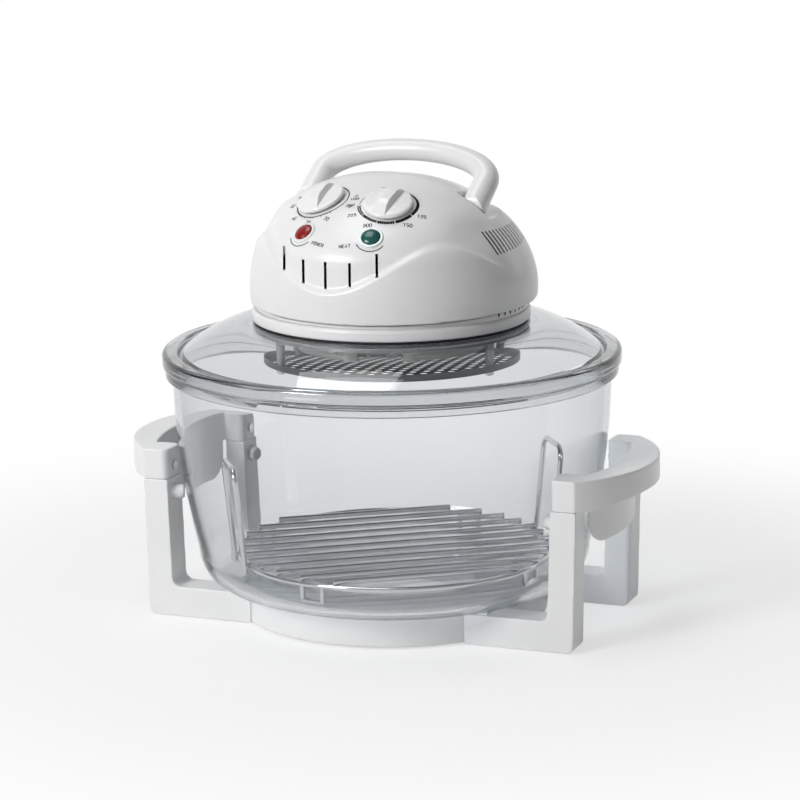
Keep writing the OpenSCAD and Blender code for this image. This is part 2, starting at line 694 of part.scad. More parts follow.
// The space cleared for the handle, over its seat; thick is what stays of the wall
module seat_cut(thick) {
    translate([0, 0, shelf_z - thick]) linear_extrude(head_h - shelf_z + 2 * thick + past) difference() {
        square(2 * head_half - 1, center = true);
        crown_plan(thick);
    }
}

// Slope of the panel, and the direction in which it falls
function panel_slope(x, y, e = 0.5) =
    [head_top(x + e, y) - head_top(x - e, y), head_top(x, y + e) - head_top(x, y - e)] / (2 * e);
function panel_fall(x, y) = let (d = panel_slope(x, y)) atan2(-d[1], -d[0]);

module on_panel(x, y) {
    tilt = atan(norm(panel_slope(x, y)));
    translate([x, y, head_top(x, y)]) rotate([0, tilt, panel_fall(x, y)]) children();
}

slot_low = [34.5, 37, 44];
slot_high = [53, 53.2, 59.5];
boss_l = 11;
panel_cut = 16;

module panel_slots() for (i = [-2:2]) {
    k = abs(i);
    translate([i * slot_pitch - slot_w / 2, -head_half, slot_low[k]])
        cube([slot_w, 0.5 * head_half, slot_high[k] - slot_low[k]]);
}

vent_first_az = 77;
vent_az_step = 3.5;
vent_z = 60;
vent_l = 18;
vent_lean = 26;
vent_deep = 24;

module side_vents() for (s = [0, 1], i = [0:vent_count - 1]) mirror([s, 0, 0])
    at_azimuth(vent_first_az + i * vent_az_step, head_rz(0.5, 90)[0], vent_z) rotate([vent_lean, 0, 0])
        cube([vent_deep, vent_w, vent_l - i * 0.4], center = true);

gland_z = 32;
gland_r = 7;

module head_housing() color(white) on_head() difference() {
    union() {
        difference() {
            dome(0, 72, 32);
            seat_cut(0);
            difference() {
                dome(shell_t, 36, 14);
                seat_cut(shell_t);
            }
            panel_slots();
            side_vents();
            for (s = [-1, 1]) {
                on_panel(s * knob_pitch / 2, -knob_y)
                    cylinder(r = stem_r + 1.2, h = panel_cut, center = true);
                on_panel(s * lamp_pitch / 2, -lamp_y)
                    cylinder(r = bezel_r + run_gap, h = panel_cut, center = true);
            }
        }
        for (s = [-1, 1]) translate([s > 0 ? crown_w - boss_l - 1 : -crown_w + 1, pivot_y, pivot_z])
            rotate([0, 90, 0]) cylinder(r = pivot_r + 1.8, h = boss_l);
        for (az = housing_screw_az) {
            at_azimuth(az, fix_r, flange_t) cylinder(r = boss_r, h = 36);
            at_azimuth(az, fix_r + 3, neck_h + 1) translate([0, -1.5, 0])
                cube([head_rz(0.2, az)[0] - shell_t / 2 - fix_r - 3, 3, 12]);
        }
    }
    for (s = [-1, 1]) translate([s * crown_w, pivot_y, pivot_z]) rotate([0, 90, 0])
        cylinder(r = pivot_r + run_gap, h = 30, center = true);
    for (az = housing_screw_az)
        at_azimuth(az, fix_r, flange_t - past) cylinder(r = screw_r + run_gap, h = 20);
    at_azimuth(180, 90, gland_z) rotate([0, 90, 0]) cylinder(r = gland_r + run_gap, h = 30);
    translate([0, plunger_y, shelf_z - 10]) cylinder(r = plunger_r + seat_gap, h = 20);
}

module housing_screws() color(steel) on_head() for (az = housing_screw_az)
    at_azimuth(az, fix_r, 0) screw(18);

// Controls behind the panel
unit_r = 15;
unit_h = 22;
unit_drop = 1.4 * shell_t + 2.3;
stem_in = 9;       // how far a stem goes into its unit and into its knob

module control_unit(side) on_panel(side * knob_pitch / 2, -knob_y)
    translate([0, 0, -unit_drop - unit_h]) difference() {
        union() {
            cylinder(r = unit_r, h = unit_h);
            cylinder(r = stem_r + 1, h = unit_h + unit_drop - 0.2);
        }
        translate([0, 0, unit_h - stem_in - 1]) cylinder(r = stem_r + run_gap, h = unit_h + unit_drop);
    }

module timer_unit() color([0.8, 0.8, 0.78]) on_head() control_unit(-1);
module thermostat_unit() color([0.7, 0.7, 0.72]) on_head() control_unit(1);

// Stem and knob; both turn on the panel's normal
module control_stem(side) on_panel(side * knob_pitch / 2, -knob_y)
    translate([0, 0, -unit_drop - stem_in]) cylinder(r = stem_r, h = unit_drop + knob_gap + 2 * stem_in);

knob_gap = 1.4;
knob_rim_h = 4.5;
grip_w = 12;
grip_top_w = 7;

// Side view of a knob's grip, from its low front end to its high middle and its back end
module grip_side() polygon([[-knob_r + 2, 1], [knob_r - 1, 1], [knob_r - 1.5, knob_rim_h],
    [knob_r - 9, knob_h - 1.5], [knob_r - 13, knob_h], [-knob_r + 10, knob_h], [-knob_r + 5, knob_h - 2.5],
    [-knob_r + 2, knob_rim_h]]);

// The grip of a knob runs from the front of the panel to its back
module knob(side) on_panel(side * knob_pitch / 2, -knob_y) translate([0, 0, knob_gap]) difference() {
    union() {
        rotate_extrude() polygon(concat(
            [[0, 0], [knob_r, 0], [knob_r, knob_rim_h - 2]],
            arc(knob_r - 2, knob_rim_h - 2, 2, 0, 75, 5),
            [[knob_r - 5, knob_rim_h + 0.5], [0, knob_rim_h + 1.5]]));
        rotate([0, 0, -90 - panel_fall(side * knob_pitch / 2, -knob_y)]) intersection() {
            translate([0, grip_w / 2, 0]) rotate([90, 0, 0]) linear_extrude(grip_w) grip_side();
            translate([-knob_r, 0, 0]) rotate([90, 0, 90]) linear_extrude(2 * knob_r)
                polygon([for (p = [[-grip_w, 0], [grip_w, 0], [grip_top_w, knob_h], [-grip_top_w, knob_h]])
                    [p[0] / 2, p[1]]]);
            cylinder(r = knob_r - 0.4, h = knob_h);
        }
    }
    translate([0, 0, -past]) cylinder(r = stem_r, h = past + stem_in);
}

module timer_knob() color(white) on_head() knob(-1);
module thermostat_knob() color(white) on_head() knob(1);
module timer_stem() color(steel) on_head() control_stem(-1);
module thermostat_stem() color(steel) on_head() control_stem(1);

// The thermostat's bulb lies under the reflector's top; its capillary goes up to the unit
bulb_z = -5.6;

module thermostat_bulb() color([0.75, 0.5, 0.3]) on_head() {
    translate([knob_pitch / 2, -knob_y + 8, bulb_z]) {
        rotate([0, -90, 0]) cylinder(r = 2.6, h = 46);
        sphere(r = 2.6);
        cylinder(r = 0.9, h = 66 - bulb_z);
    }
}

module lens(side) on_panel(side * lamp_pitch / 2, -lamp_y) rotate_extrude()
    polygon(concat([[0, -4], [lens_r, -4], [lens_r, 0.4]],
        [for (i = [1:6]) [lens_r * cos(i * 15), 0.4 + 2.6 * sin(i * 15)]]));

module power_lens() color([0.6, 0.08, 0.06]) on_head() lens(-1);
module heat_lens() color([0.03, 0.42, 0.36]) on_head() lens(1);

module lens_bezels() color([0.85, 0.87, 0.87]) on_head() for (s = [-1, 1])
    on_panel(s * lamp_pitch / 2, -lamp_y) rotate_extrude()
        polygon([[lens_r, -5], [bezel_r, -5], [bezel_r, 0.1], [bezel_r - 0.5, 0.7], [lens_r, 0.7]]);

module neon_lamps() color([0.95, 0.6, 0.3]) on_head() for (s = [-1, 1])
    on_panel(s * lamp_pitch / 2, -lamp_y) translate([0, 0, -15]) {
        cylinder(r = 3, h = 10.8);
        cylinder(r = lens_r - 1, h = 4);
    }

// Safety switch: the folded handle lies over its plunger
plunger_r = 2.4;
plunger_y = pivot_y + bail_reach;
plunger_up = 1.8;
switch_top = shelf_z - shell_t;

module safety_switch() color(dark) on_head() difference() {
    translate([-10, plunger_y - 6, switch_top - 16]) cube([20, 12, 16]);
    translate([0, plunger_y, switch_top - 9]) cylinder(r = plunger_r + run_gap, h = 20);
}

module switch_plunger() color([0.75, 0.1, 0.08]) on_head()
    translate([0, plunger_y, switch_top - 5])
        cylinder(r = plunger_r, h = shelf_z + plunger_up - switch_top + 5);

module terminal_block() color([0.9, 0.9, 0.85]) on_head() difference() {
    union() {
        translate([-60, 36, plate_top]) cube([40, 16, 5]);
        for (i = [0:3]) translate([-59 + i * 10, 38, plate_top + 5]) cube([8, 12, 8]);
    }
    for (i = [0:3]) translate([-55 + i * 10, 36 + 8, plate_top + 13 - 5]) cylinder(r = 1.6, h = 6);
}

// Gland at the back, where the mains lead goes in
cord_bore_r = 3.6;

module power_gland() color(dark) on_head() at_azimuth(180, 0, gland_z) rotate([0, 90, 0]) difference() {
    union() {
        translate([0, 0, 94]) cylinder(r = gland_r, h = 15);
        translate([0, 0, 106.4]) cylinder(r = gland_r + 2.5, h = 3);
        translate([0, 0, 94]) cylinder(r = gland_r + 2, h = 4);
    }
    translate([0, 0, 90]) cylinder(r = cord_bore_r, h = 30);
}

// Carry handle: a tube that is thinner at the grip, on a pin at the end of each arm
module bail_tube() {
    arm_steps = 5;
    bend_steps = 36;
    steps = 2 * arm_steps + bend_steps;
    sides = 16;
    path = concat(
        [for (i = [0:arm_steps - 1]) [bail_w / 2, bail_leg * i / arm_steps]],
        [for (i = [0:bend_steps]) bail_out(i * 180 / bend_steps, bail_w / 2, bail_reach)],
        [for (i = [arm_steps - 1:-1:0]) [-bail_w / 2, bail_leg * i / arm_steps]]);
    function way(i) = let (a = path[max(0, i - 1)], b = path[min(steps, i + 1)], v = b - a)
        i == 0 ? [0, 1] : i == steps ? [0, -1] : v / norm(v);
    function thick(i) = bail_arm_r - (bail_arm_r - bail_r) * pow(path[i][1] / bail_reach, 2);
    polyhedron(
        points = [for (i = [0:steps], k = [0:sides - 1]) let (w = way(i), a = k * 360 / sides,
            n = thick(i) * cos(a), b = thick(i) * sin(a)) [path[i][0] + n * w[1], b, path[i][1] - n * w[0]]],
        faces = concat(
            [[for (k = [0:sides - 1]) k]],
            [[for (k = [sides - 1:-1:0]) steps * sides + k]],
            [for (i = [0:steps - 1], k = [0:sides - 1]) let (n = (k + 1) % sides)
                [i * sides + k, (i + 1) * sides + k, i * sides + n]],
            [for (i = [0:steps - 1], k = [0:sides - 1]) let (n = (k + 1) % sides)
                [i * sides + n, (i + 1) * sides + k, (i + 1) * sides + n]]));
}

eye_r = bail_arm_r + 0.15;
pin_in = 4.5;      // how far a pivot pin goes past the middle of an arm

module carry_handle() color(white) on_head() translate([0, pivot_y, pivot_z]) rotate([-bail_lean, 0, 0])
    difference() {
        union() {
            bail_tube();
            for (s = [-1, 1]) translate([s * bail_w / 2, 0, 0]) intersection() {
                translate([0, 0, -eye_r]) cylinder(r = eye_r, h = eye_r + 1);
                rotate([0, 90, 0]) cylinder(r = eye_r, h = 2 * eye_r, center = true);
            }
        }
        for (s = [0, 1]) mirror([s, 0, 0]) translate([crown_w, 0, 0]) rotate([0, 90, 0])
            cylinder(r = pivot_r + run_gap, h = bail_w / 2 + pin_in + seat_gap - crown_w);
    }

module pivot_pins() color(steel) on_head() for (s = [0, 1]) mirror([s, 0, 0])
    translate([crown_w - boss_l, pivot_y, pivot_z]) rotate([0, 90, 0])
        cylinder(r = pivot_r, h = bail_w / 2 + pin_in - crown_w + boss_l);

// Heater

guard_t = 0.8;
guard_rim = 4.7;
guard_top = -guard_z + guard_rim;
pan_top = -seat_gap;
pan_t = 0.8;
pan_low = guard_top + 2;
tube_gap = 40;
tube_gap_az = 20;
cap_r = 6.6;
cap_h = 13;

module reflector_pan() color(steel) on_head() difference() {
    translate([0, 0, pan_low]) cylinder(r = pan_r, h = pan_top - pan_low);
    translate([0, 0, pan_low - past]) cylinder(r = pan_r - pan_t, h = pan_top - pan_t - pan_low + past);
    translate([0, 0, -4]) cylinder(r = shaft_r + 2, h = 6);
    for (s = [-1, 1]) rotate([0, 0, tube_gap_az + s * tube_gap / 2 - 90])
        translate([tube_ring_r, 0, -4]) cylinder(r = cap_r + 0.4, h = 6);
    translate([knob_pitch / 2, -knob_y + 8, -4]) cylinder(r = 1.6, h = 6);
}

module halogen_tube() color([0.95, 0.93, 0.88]) on_head() translate([0, 0, -tube_z]) {
    rotate([0, 0, tube_gap_az + tube_gap / 2 - 90]) rotate_extrude(angle = 360 - tube_gap)
        translate([tube_ring_r, 0]) circle(r = tube_r);
    for (s = [-1, 1]) rotate([0, 0, tube_gap_az + s * tube_gap / 2 - 90])
        translate([tube_ring_r, 0, -tube_r - 0.3]) cylinder(r = tube_r + 0.3, h = tube_r + 8.3);
}

module tube_caps() color([0.92, 0.9, 0.84]) on_head() for (s = [-1, 1])
    rotate([0, 0, tube_gap_az + s * tube_gap / 2 - 90]) translate([tube_ring_r, 0, -tube_z + 8]) {
        cylinder(r = cap_r, h = cap_h);
        translate([0, 0, cap_h]) cylinder(r = 2, h = 5);
    }

module tube_clips() color(steel) on_head() for (az = [110, 200, 290])
    rotate([0, 0, az - 90]) translate([tube_ring_r, 2, -tube_z]) rotate([90, 0, 0]) linear_extrude(4) {
        difference() {
            circle(r = tube_r + 1.3);
            circle(r = tube_r + 0.3);
            translate([0, -tube_r - 3]) square([7, 6], center = true);
        }
        translate([-0.5, tube_r + 0.6]) square([1, tube_z - seat_gap - pan_t - tube_r - 0.6]);
    }

guard_rows = floor(guard_r / (guard_pitch * 0.866));

module heater_guard() color(steel) on_head() translate([0, 0, -guard_z]) difference() {
    union() {
        linear_extrude(guard_t) difference() {
            circle(r = guard_r, $fn = 180);
            for (j = [-guard_rows:guard_rows], i = [-10:10]) {
                x = (i + (j % 2 == 0 ? 0 : 0.5)) * guard_pitch;
                y = j * guard_pitch * 0.866;
                near_post = min([for (az = guard_post_az) norm([x - fix_r * sin(az), y + fix_r * cos(az)])]);
                if (norm([x, y]) < guard_r - guard_hole_r - 2.5 && near_post > 5 + guard_hole_r)
                    translate([x, y]) circle(r = guard_hole_r, $fn = 24);
            }
        }
        difference() {
            cylinder(r = guard_r, h = guard_rim, $fn = 180);
            translate([0, 0, -past]) cylinder(r = guard_r - guard_t, h = guard_rim + 2 * past, $fn = 180);
        }
    }
    for (az = guard_post_az) at_azimuth(az, fix_r, -past) cylinder(r = post_pin_r + run_gap, h = 4);
}

post_pin_r = 1.6;
guard_post_r = 3;
nut_h = 2.4;

module guard_posts() color(steel) on_head() for (az = guard_post_az) {
    at_azimuth(az, fix_r, -guard_z + guard_t)
        cylinder(r = guard_post_r, h = clamp_top - clamp_t + guard_z - guard_t);
    at_azimuth(az, fix_r, -guard_z - 3) cylinder(r = post_pin_r, h = clamp_top + 1 + guard_z + 3 - 0.8);
}

module guard_nuts() color(steel) on_head() for (az = guard_post_az)
    at_azimuth(az, fix_r, -guard_z - nut_h) difference() {
        cylinder(r = 3.4, h = nut_h, $fn = 6);
        translate([0, 0, -past]) cylinder(r = post_pin_r + run_gap, h = nut_h + 2 * past);
    }

// Motor and fans

bracket_top = plate_top + 9;
bracket_w = 62;
bracket_t = 1.2;
bracket_d = 26;
bracket_foot = 12;
bracket_holes = [for (x = [-1, 1], y = [-1, 1]) [x * (bracket_w / 2 + bracket_foot / 2), y * 7]];
motor_h = 22;
motor_w = 44;

module motor_bracket() color(steel) on_head() difference() {
    translate([0, bracket_d / 2, plate_top]) rotate([90, 0, 0]) linear_extrude(bracket_d) {
        rise = bracket_top - plate_top;
        for (s = [-1, 1]) {
            translate([s > 0 ? bracket_w / 2 - bracket_t : -bracket_w / 2, 0]) square([bracket_t, rise]);
            translate([s > 0 ? bracket_w / 2 - bracket_t : -bracket_w / 2 - bracket_foot, 0])
                square([bracket_foot + bracket_t, bracket_t]);
        }
        translate([-bracket_w / 2, rise - bracket_t]) square([bracket_w, bracket_t]);
    }
    translate([0, 0, plate_top]) cylinder(r = shaft_r + 2, h = 20);
    for (p = bracket_holes) translate([p[0], p[1], plate_top - past]) cylinder(r = 1.5 + run_gap, h = 4);
}

module motor_screws() color(steel) on_head() for (p = bracket_holes)
    translate([p[0], p[1], plate_top + bracket_t]) {
        cylinder(r = 2.8, h = 1.8);
        translate([0, 0, -bracket_t - plate_t - 2]) cylinder(r = 1.5, h = bracket_t + plate_t + 2);
    }

module fan_motor() color([0.55, 0.56, 0.58]) on_head() translate([0, 0, bracket_top]) difference() {
    union() {
        linear_extrude(motor_h) difference() {
            round_rect(motor_w, motor_w - 6, 5);
            for (s = [-1, 1]) translate([s * 15, 0]) square([6.4, 20.4], center = true);
        }
        cylinder(r = 7, h = motor_h + 2);
    }
    translate([0, 0, -past]) cylinder(r = shaft_r + run_gap, h = motor_h + 6);
}

module motor_coil() color([0.72, 0.38, 0.18]) on_head() for (s = [-1, 1])
    translate([s * 15 - 3, -10, bracket_top + 0.3]) cube([6, 20, motor_h + 3]);

shaft_low = -tube_z - 9;
shaft_high = bracket_top + motor_h + 16;

module motor_shaft() color(steel) on_head() translate([0, 0, shaft_low])
    cylinder(r = shaft_r, h = shaft_high - shaft_low);

module fan(radius, height, blades, pitch, hub_r) {
    difference() {
        union() {
            cylinder(r = hub_r, h = height);
            for (i = [0:blades - 1]) rotate([0, 0, i * 360 / blades])
                translate([radius / 2 + 1, 0, height / 2])
                    rotate([pitch, 0, 0]) cube([radius - 4, 1, height], center = true);
        }
        translate([0, 0, -past]) cylinder(r = shaft_r, h = height + 2 * past);
    }
}

module cooling_fan() color([0.2, 0.2, 0.22]) on_head() translate([0, 0, bracket_top + motor_h + 4])
    fan(cool_fan_r, 8, 7, 35, 6);
module air_fan() color(steel) on_head() translate([0, 0, -tube_z - 3]) fan(air_fan_r, 7, 8, 20, 5);

module fan_nut() color(steel) on_head() translate([0, 0, -tube_z - 3 - 3.2]) difference() {
    cylinder(r = 4.4, h = 3.1, $fn = 6);
    translate([0, 0, -past]) cylinder(r = shaft_r, h = 6);
}

base_ring();
leg_front_left();
leg_front_right();
leg_rear_left();
leg_rear_right();
handle_left();
handle_right();
leg_screws();
handle_screws();
rubber_feet();
bowl_pads();
bowl_bumpers();
glass_bowl();
rack_ring();
rack_bars();
rack_grips();
rack_feet();
glass_lid();
lid_gasket();
clamp_ring();
clamp_screws();
head_collar();
base_plate();
head_housing();
housing_screws();
timer_unit();
thermostat_unit();
thermostat_bulb();
power_lens();
heat_lens();
lens_bezels();
neon_lamps();
safety_switch();
terminal_block();
power_gland();
pivot_pins();
reflector_pan();
halogen_tube();
tube_caps();
tube_clips();
heater_guard();
guard_posts();
guard_nuts();
fan_motor();
motor_coil();
motor_bracket();
motor_screws();
carry_handle();
timer_knob();
timer_stem();
thermostat_knob();
thermostat_stem();
motor_shaft();
cooling_fan();
air_fan();
fan_nut();
switch_plunger();
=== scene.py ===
import bpy
import json
import math
import numpy as np
from mathutils import Matrix, Vector


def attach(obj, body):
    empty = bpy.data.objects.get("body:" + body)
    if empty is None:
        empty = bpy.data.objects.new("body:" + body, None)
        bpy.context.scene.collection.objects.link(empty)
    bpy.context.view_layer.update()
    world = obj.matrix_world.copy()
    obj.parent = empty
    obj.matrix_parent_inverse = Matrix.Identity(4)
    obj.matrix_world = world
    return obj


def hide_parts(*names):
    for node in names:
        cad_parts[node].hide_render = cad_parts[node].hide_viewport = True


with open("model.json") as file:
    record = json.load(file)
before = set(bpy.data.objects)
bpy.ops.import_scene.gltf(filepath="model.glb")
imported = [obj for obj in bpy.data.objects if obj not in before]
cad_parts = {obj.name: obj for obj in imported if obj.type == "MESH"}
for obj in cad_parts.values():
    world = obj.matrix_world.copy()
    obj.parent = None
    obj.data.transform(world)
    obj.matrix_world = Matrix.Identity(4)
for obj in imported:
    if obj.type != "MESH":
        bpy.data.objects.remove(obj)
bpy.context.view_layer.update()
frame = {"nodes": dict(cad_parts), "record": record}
nodes = frame["nodes"]
scene = bpy.context.scene
MM = 0.001

# Sizes in millimetres and degrees that the visual pieces share with the CAD model
HEAD_TURN = math.radians(-6.4)
HEAD_Z = 213.0
BOWL_Z = 23.3
BOWL_TOP = 181.7
LID_Z = 182.0
LID_TOP = 212.0
SHELL = 2.8
SHELF = 75.0
GUARD_Z = 29.0
PIVOT_Y = 5.5
PIVOT_Z = 84.5
BAIL_W = 65.0
BAIL_REACH = 45.6
BAIL_LEG = 18.0
BAIL_R = 7.8
BAIL_ARM_R = 9.0
BAIL_LEAN = math.radians(52)
CROWN_W = BAIL_W - BAIL_ARM_R - 0.9
CROWN_BACK = BAIL_REACH - BAIL_R - 1
KNOB_X = 26.0
KNOB_Y = -51.6
LAMP_Y = -77.3
BOWL_WALL = 4.6
BOWL_R = 155.2
BOWL_CORNER = 26.0
LID_WALL = 5.0
GUARD_POST_AXIS = 112.0
GUARD_SHEET = 0.8


# ---------------------------------------------------------------- materials

def material(name, color, rough=0.4, metallic=0.0, transmission=0.0, ior=1.5, vary=0.03, bump=0.05,
             bump_size=900.0, coat=0.0, specular=0.5):
    m = bpy.data.materials.new(name)
    m.use_nodes = True
    nt = m.node_tree
    nt.nodes.clear()
    out = nt.nodes.new("ShaderNodeOutputMaterial")
    b = nt.nodes.new("ShaderNodeBsdfPrincipled")
    coord = nt.nodes.new("ShaderNodeTexCoord")
    fine = nt.nodes.new("ShaderNodeTexNoise")
    fine.inputs["Scale"].default_value = bump_size
    fine.inputs["Detail"].default_value = 3.0
    broad = nt.nodes.new("ShaderNodeTexNoise")
    broad.inputs["Scale"].default_value = 14.0
    broad.inputs["Detail"].default_value = 4.0
    nt.links.new(coord.outputs["Object"], fine.inputs["Vector"])
    nt.links.new(coord.outputs["Object"], broad.inputs["Vector"])
    ramp = nt.nodes.new("ShaderNodeValToRGB")
    low = [max(0.0, c * (1 - vary)) for c in color]
    high = [min(1.0, c * (1 + vary)) for c in color]
    ramp.color_ramp.elements[0].position = 0.3
    ramp.color_ramp.elements[0].color = (*low, 1)
    ramp.color_ramp.elements[1].position = 0.7
    ramp.color_ramp.elements[1].color = (*high, 1)
    nt.links.new(broad.outputs["Fac"], ramp.inputs["Fac"])
    nt.links.new(ramp.outputs["Color"], b.inputs["Base Color"])
    spread = nt.nodes.new("ShaderNodeMapRange")
    spread.inputs["From Min"].default_value = 0.3
    spread.inputs["From Max"].default_value = 0.7
    spread.inputs["To Min"].default_value = max(0.0, rough * 0.85)
    spread.inputs["To Max"].default_value = min(1.0, rough * 1.15)
    nt.links.new(broad.outputs["Fac"], spread.inputs["Value"])
    nt.links.new(spread.outputs["Result"], b.inputs["Roughness"])
    if bump > 0:
        bn = nt.nodes.new("ShaderNodeBump")
        bn.inputs["Strength"].default_value = bump
        bn.inputs["Distance"].default_value = 0.0002
        nt.links.new(fine.outputs["Fac"], bn.inputs["Height"])
        nt.links.new(bn.outputs["Normal"], b.inputs["Normal"])
    b.inputs["Metallic"].default_value = metallic
    b.inputs["IOR"].default_value = ior
    b.inputs["Transmission Weight"].default_value = transmission
    b.inputs["Coat Weight"].default_value = coat
    b.inputs["Coat Roughness"].default_value = 0.08
    b.inputs["Specular IOR Level"].default_value = specular
    nt.links.new(b.outputs["BSDF"], out.inputs["Surface"])
    return m


def glass(name, face, painted_edge_shade, density, tint):
    """Clear glass with painted shade on its colour where it is looked at edge on, and that darkens through its
    thickness.
    """
    m = material(name, face, 0.012, transmission=1.0, ior=1.47, vary=0.004, bump=0.015, bump_size=60.0)
    nt = m.node_tree
    b = next(n for n in nt.nodes if n.type == "BSDF_PRINCIPLED")
    out = next(n for n in nt.nodes if n.type == "OUTPUT_MATERIAL")
    ramp = next(n for n in nt.nodes if n.type == "VALTORGB")
    # Painted shade: the colour turns to the painted edge shade where the glass is seen edge on
    rim = nt.nodes.new("ShaderNodeLayerWeight")
    rim.inputs["Blend"].default_value = 0.35
    tone = nt.nodes.new("ShaderNodeMix")
    tone.data_type = "RGBA"
    tone.inputs[7].default_value = (*painted_edge_shade, 1)
    power = nt.nodes.new("ShaderNodeMath")
    power.operation = "POWER"
    power.inputs[1].default_value = 2.2
    nt.links.new(rim.outputs["Facing"], power.inputs[0])
    nt.links.new(power.outputs[0], tone.inputs[0])
    nt.links.new(ramp.outputs["Color"], tone.inputs[6])
    nt.links.new(tone.outputs[2], b.inputs["Base Color"])
    path = nt.nodes.new("ShaderNodeLightPath")
    clear = nt.nodes.new("ShaderNodeBsdfTransparent")
    clear.inputs["Color"].default_value = (0.90, 0.91, 0.92, 1)
    mix = nt.nodes.new("ShaderNodeMixShader")
    nt.links.new(path.outputs["Is Shadow Ray"], mix.inputs["Fac"])
    nt.links.new(b.outputs["BSDF"], mix.inputs[1])
    nt.links.new(clear.outputs["BSDF"], mix.inputs[2])
    nt.links.new(mix.outputs["Shader"], out.inputs["Surface"])
    if density:
        soak = nt.nodes.new("ShaderNodeVolumeAbsorption")
        soak.inputs["Color"].default_value = (*tint, 1)
        soak.inputs["Density"].default_value = density
        nt.links.new(soak.outputs["Volume"], out.inputs["Volume"])
    return m


M = {
    "white_plastic": material("white_plastic", (0.80, 0.80, 0.80), 0.33, vary=0.012, bump=0.03, coat=0.12),
    "white_knob": material("white_knob", (0.84, 0.84, 0.84), 0.28, vary=0.012, bump=0.02, coat=0.15),
    # The clear glass's second colour is painted shade for its edges
    "clear_glass": glass("clear_glass", (0.985, 0.99, 0.99), (0.20, 0.23, 0.26), 72.0, (0.66, 0.68, 0.70)),
    "steel": material("steel", (0.60, 0.60, 0.61), 0.28, metallic=1.0, vary=0.06, bump=0.12, bump_size=500.0),
    "chromed_wire": material("chromed_wire", (0.72, 0.73, 0.74), 0.12, metallic=1.0, vary=0.05, bump=0.05),
    "zinc_steel": material("zinc_steel", (0.5, 0.51, 0.52), 0.4, metallic=0.9, vary=0.1, bump=0.1, bump_size=300.0),
    "bright_sheet": material("bright_sheet", (0.66, 0.67, 0.68), 0.22, metallic=1.0, vary=0.06, bump=0.1),
    "black_rubber": material("black_rubber", (0.025, 0.025, 0.027), 0.6, vary=0.15, bump=0.15, bump_size=500.0),
    "white_rubber": material("white_rubber", (0.78, 0.79, 0.8), 0.45, vary=0.02, bump=0.05),
    "black_plastic": material("black_plastic", (0.03, 0.03, 0.033), 0.45, vary=0.1, bump=0.1),
    "ivory_plastic": material("ivory_plastic", (0.7, 0.68, 0.6), 0.45, vary=0.03, bump=0.08),
    "red_lens": material("red_lens", (0.27, 0.010, 0.007), 0.22, vary=0.5, bump=0.8, bump_size=420.0, coat=0.1),
    "teal_lens": material("teal_lens", (0.003, 0.085, 0.075), 0.22, vary=0.5, bump=0.8, bump_size=420.0, coat=0.1),
    "pale_trim": material("pale_trim", (0.80, 0.86, 0.85), 0.2, vary=0.02, bump=0.02, coat=0.3),
    "neon_amber": material("neon_amber", (0.9, 0.5, 0.25), 0.2, vary=0.05, bump=0.02),
    "ceramic": material("ceramic", (0.78, 0.76, 0.7), 0.35, vary=0.03, bump=0.06),
    "quartz": material("quartz", (0.82, 0.80, 0.76), 0.2, vary=0.03, bump=0.03, coat=0.5),
    "copper": material("copper", (0.6, 0.3, 0.16), 0.35, metallic=0.9, vary=0.08, bump=0.2, bump_size=700.0),
    "red_plastic": material("red_plastic", (0.5, 0.03, 0.025), 0.35, vary=0.05, bump=0.04),
    "print_ink": material("print_ink", (0.012, 0.012, 0.013), 0.85, vary=0.1, bump=0.05, specular=0.08),
    "tube_cap_steel": material("tube_cap_steel", (0.30, 0.30, 0.30), 0.4, metallic=0.8, vary=0.08, bump=0.08),
    "guard_steel": material("guard_steel", (0.15, 0.155, 0.16), 0.42, metallic=1.0, vary=0.10, bump=0.12,
                            bump_size=500.0),
    "guard_floor_painted_shade": material("guard_floor_painted_shade", (0.03, 0.031, 0.033), 0.5, metallic=0.5, vary=0.10, bump=0.1),
    # Near-black painted shade for the insides of the housing and the collar's triangular holes
    "inside_painted_shade": material("inside_painted_shade", (0.03, 0.03, 0.032), 0.7, vary=0.1, bump=0.1),
}
SLOT = {s["node"]: s["material_slot"] for s in frame["record"]["subparts"]}


# ---------------------------------------------------------------- mesh tools

def new_object(name, verts, faces, mat, smooth=True, sharp=None):
    me = bpy.data.meshes.new(name)
    me.from_pydata([tuple(v) for v in verts], [], [tuple(f) for f in faces])
    me.validate()
    o = bpy.data.objects.new(name, me)
    scene.collection.objects.link(o)
    if mat is not None:
        me.materials.append(mat)
    if smooth:
        me.shade_smooth()
    if sharp is not None:
        me.set_sharp_from_angle(angle=math.radians(sharp))
    return o


def shade(o, sharp):
    """Smooth faces, with sharp edges from that angle in degrees."""
    o.data.shade_smooth()
    o.data.set_sharp_from_angle(angle=math.radians(sharp))
    return o


def settle(o):
    """Makes an object's modifiers part of its mesh."""
    dg = bpy.context.evaluated_depsgraph_get()
    e = o.evaluated_get(dg)
    me = bpy.data.meshes.new_from_object(e, depsgraph=dg)
    o.modifiers.clear()
    old = o.data
    o.data = me
    if old.users == 0:
        bpy.data.meshes.remove(old)
    return o


def boolean(o, cutters, operation="DIFFERENCE", solver="EXACT"):
    for c in cutters:
        md = o.modifiers.new("cut", "BOOLEAN")
        md.operation = operation
        md.solver = solver
        md.object = c
    bpy.context.view_layer.update()
    settle(o)
    for c in cutters:
        bpy.data.objects.remove(c, do_unlink=True)
    return o


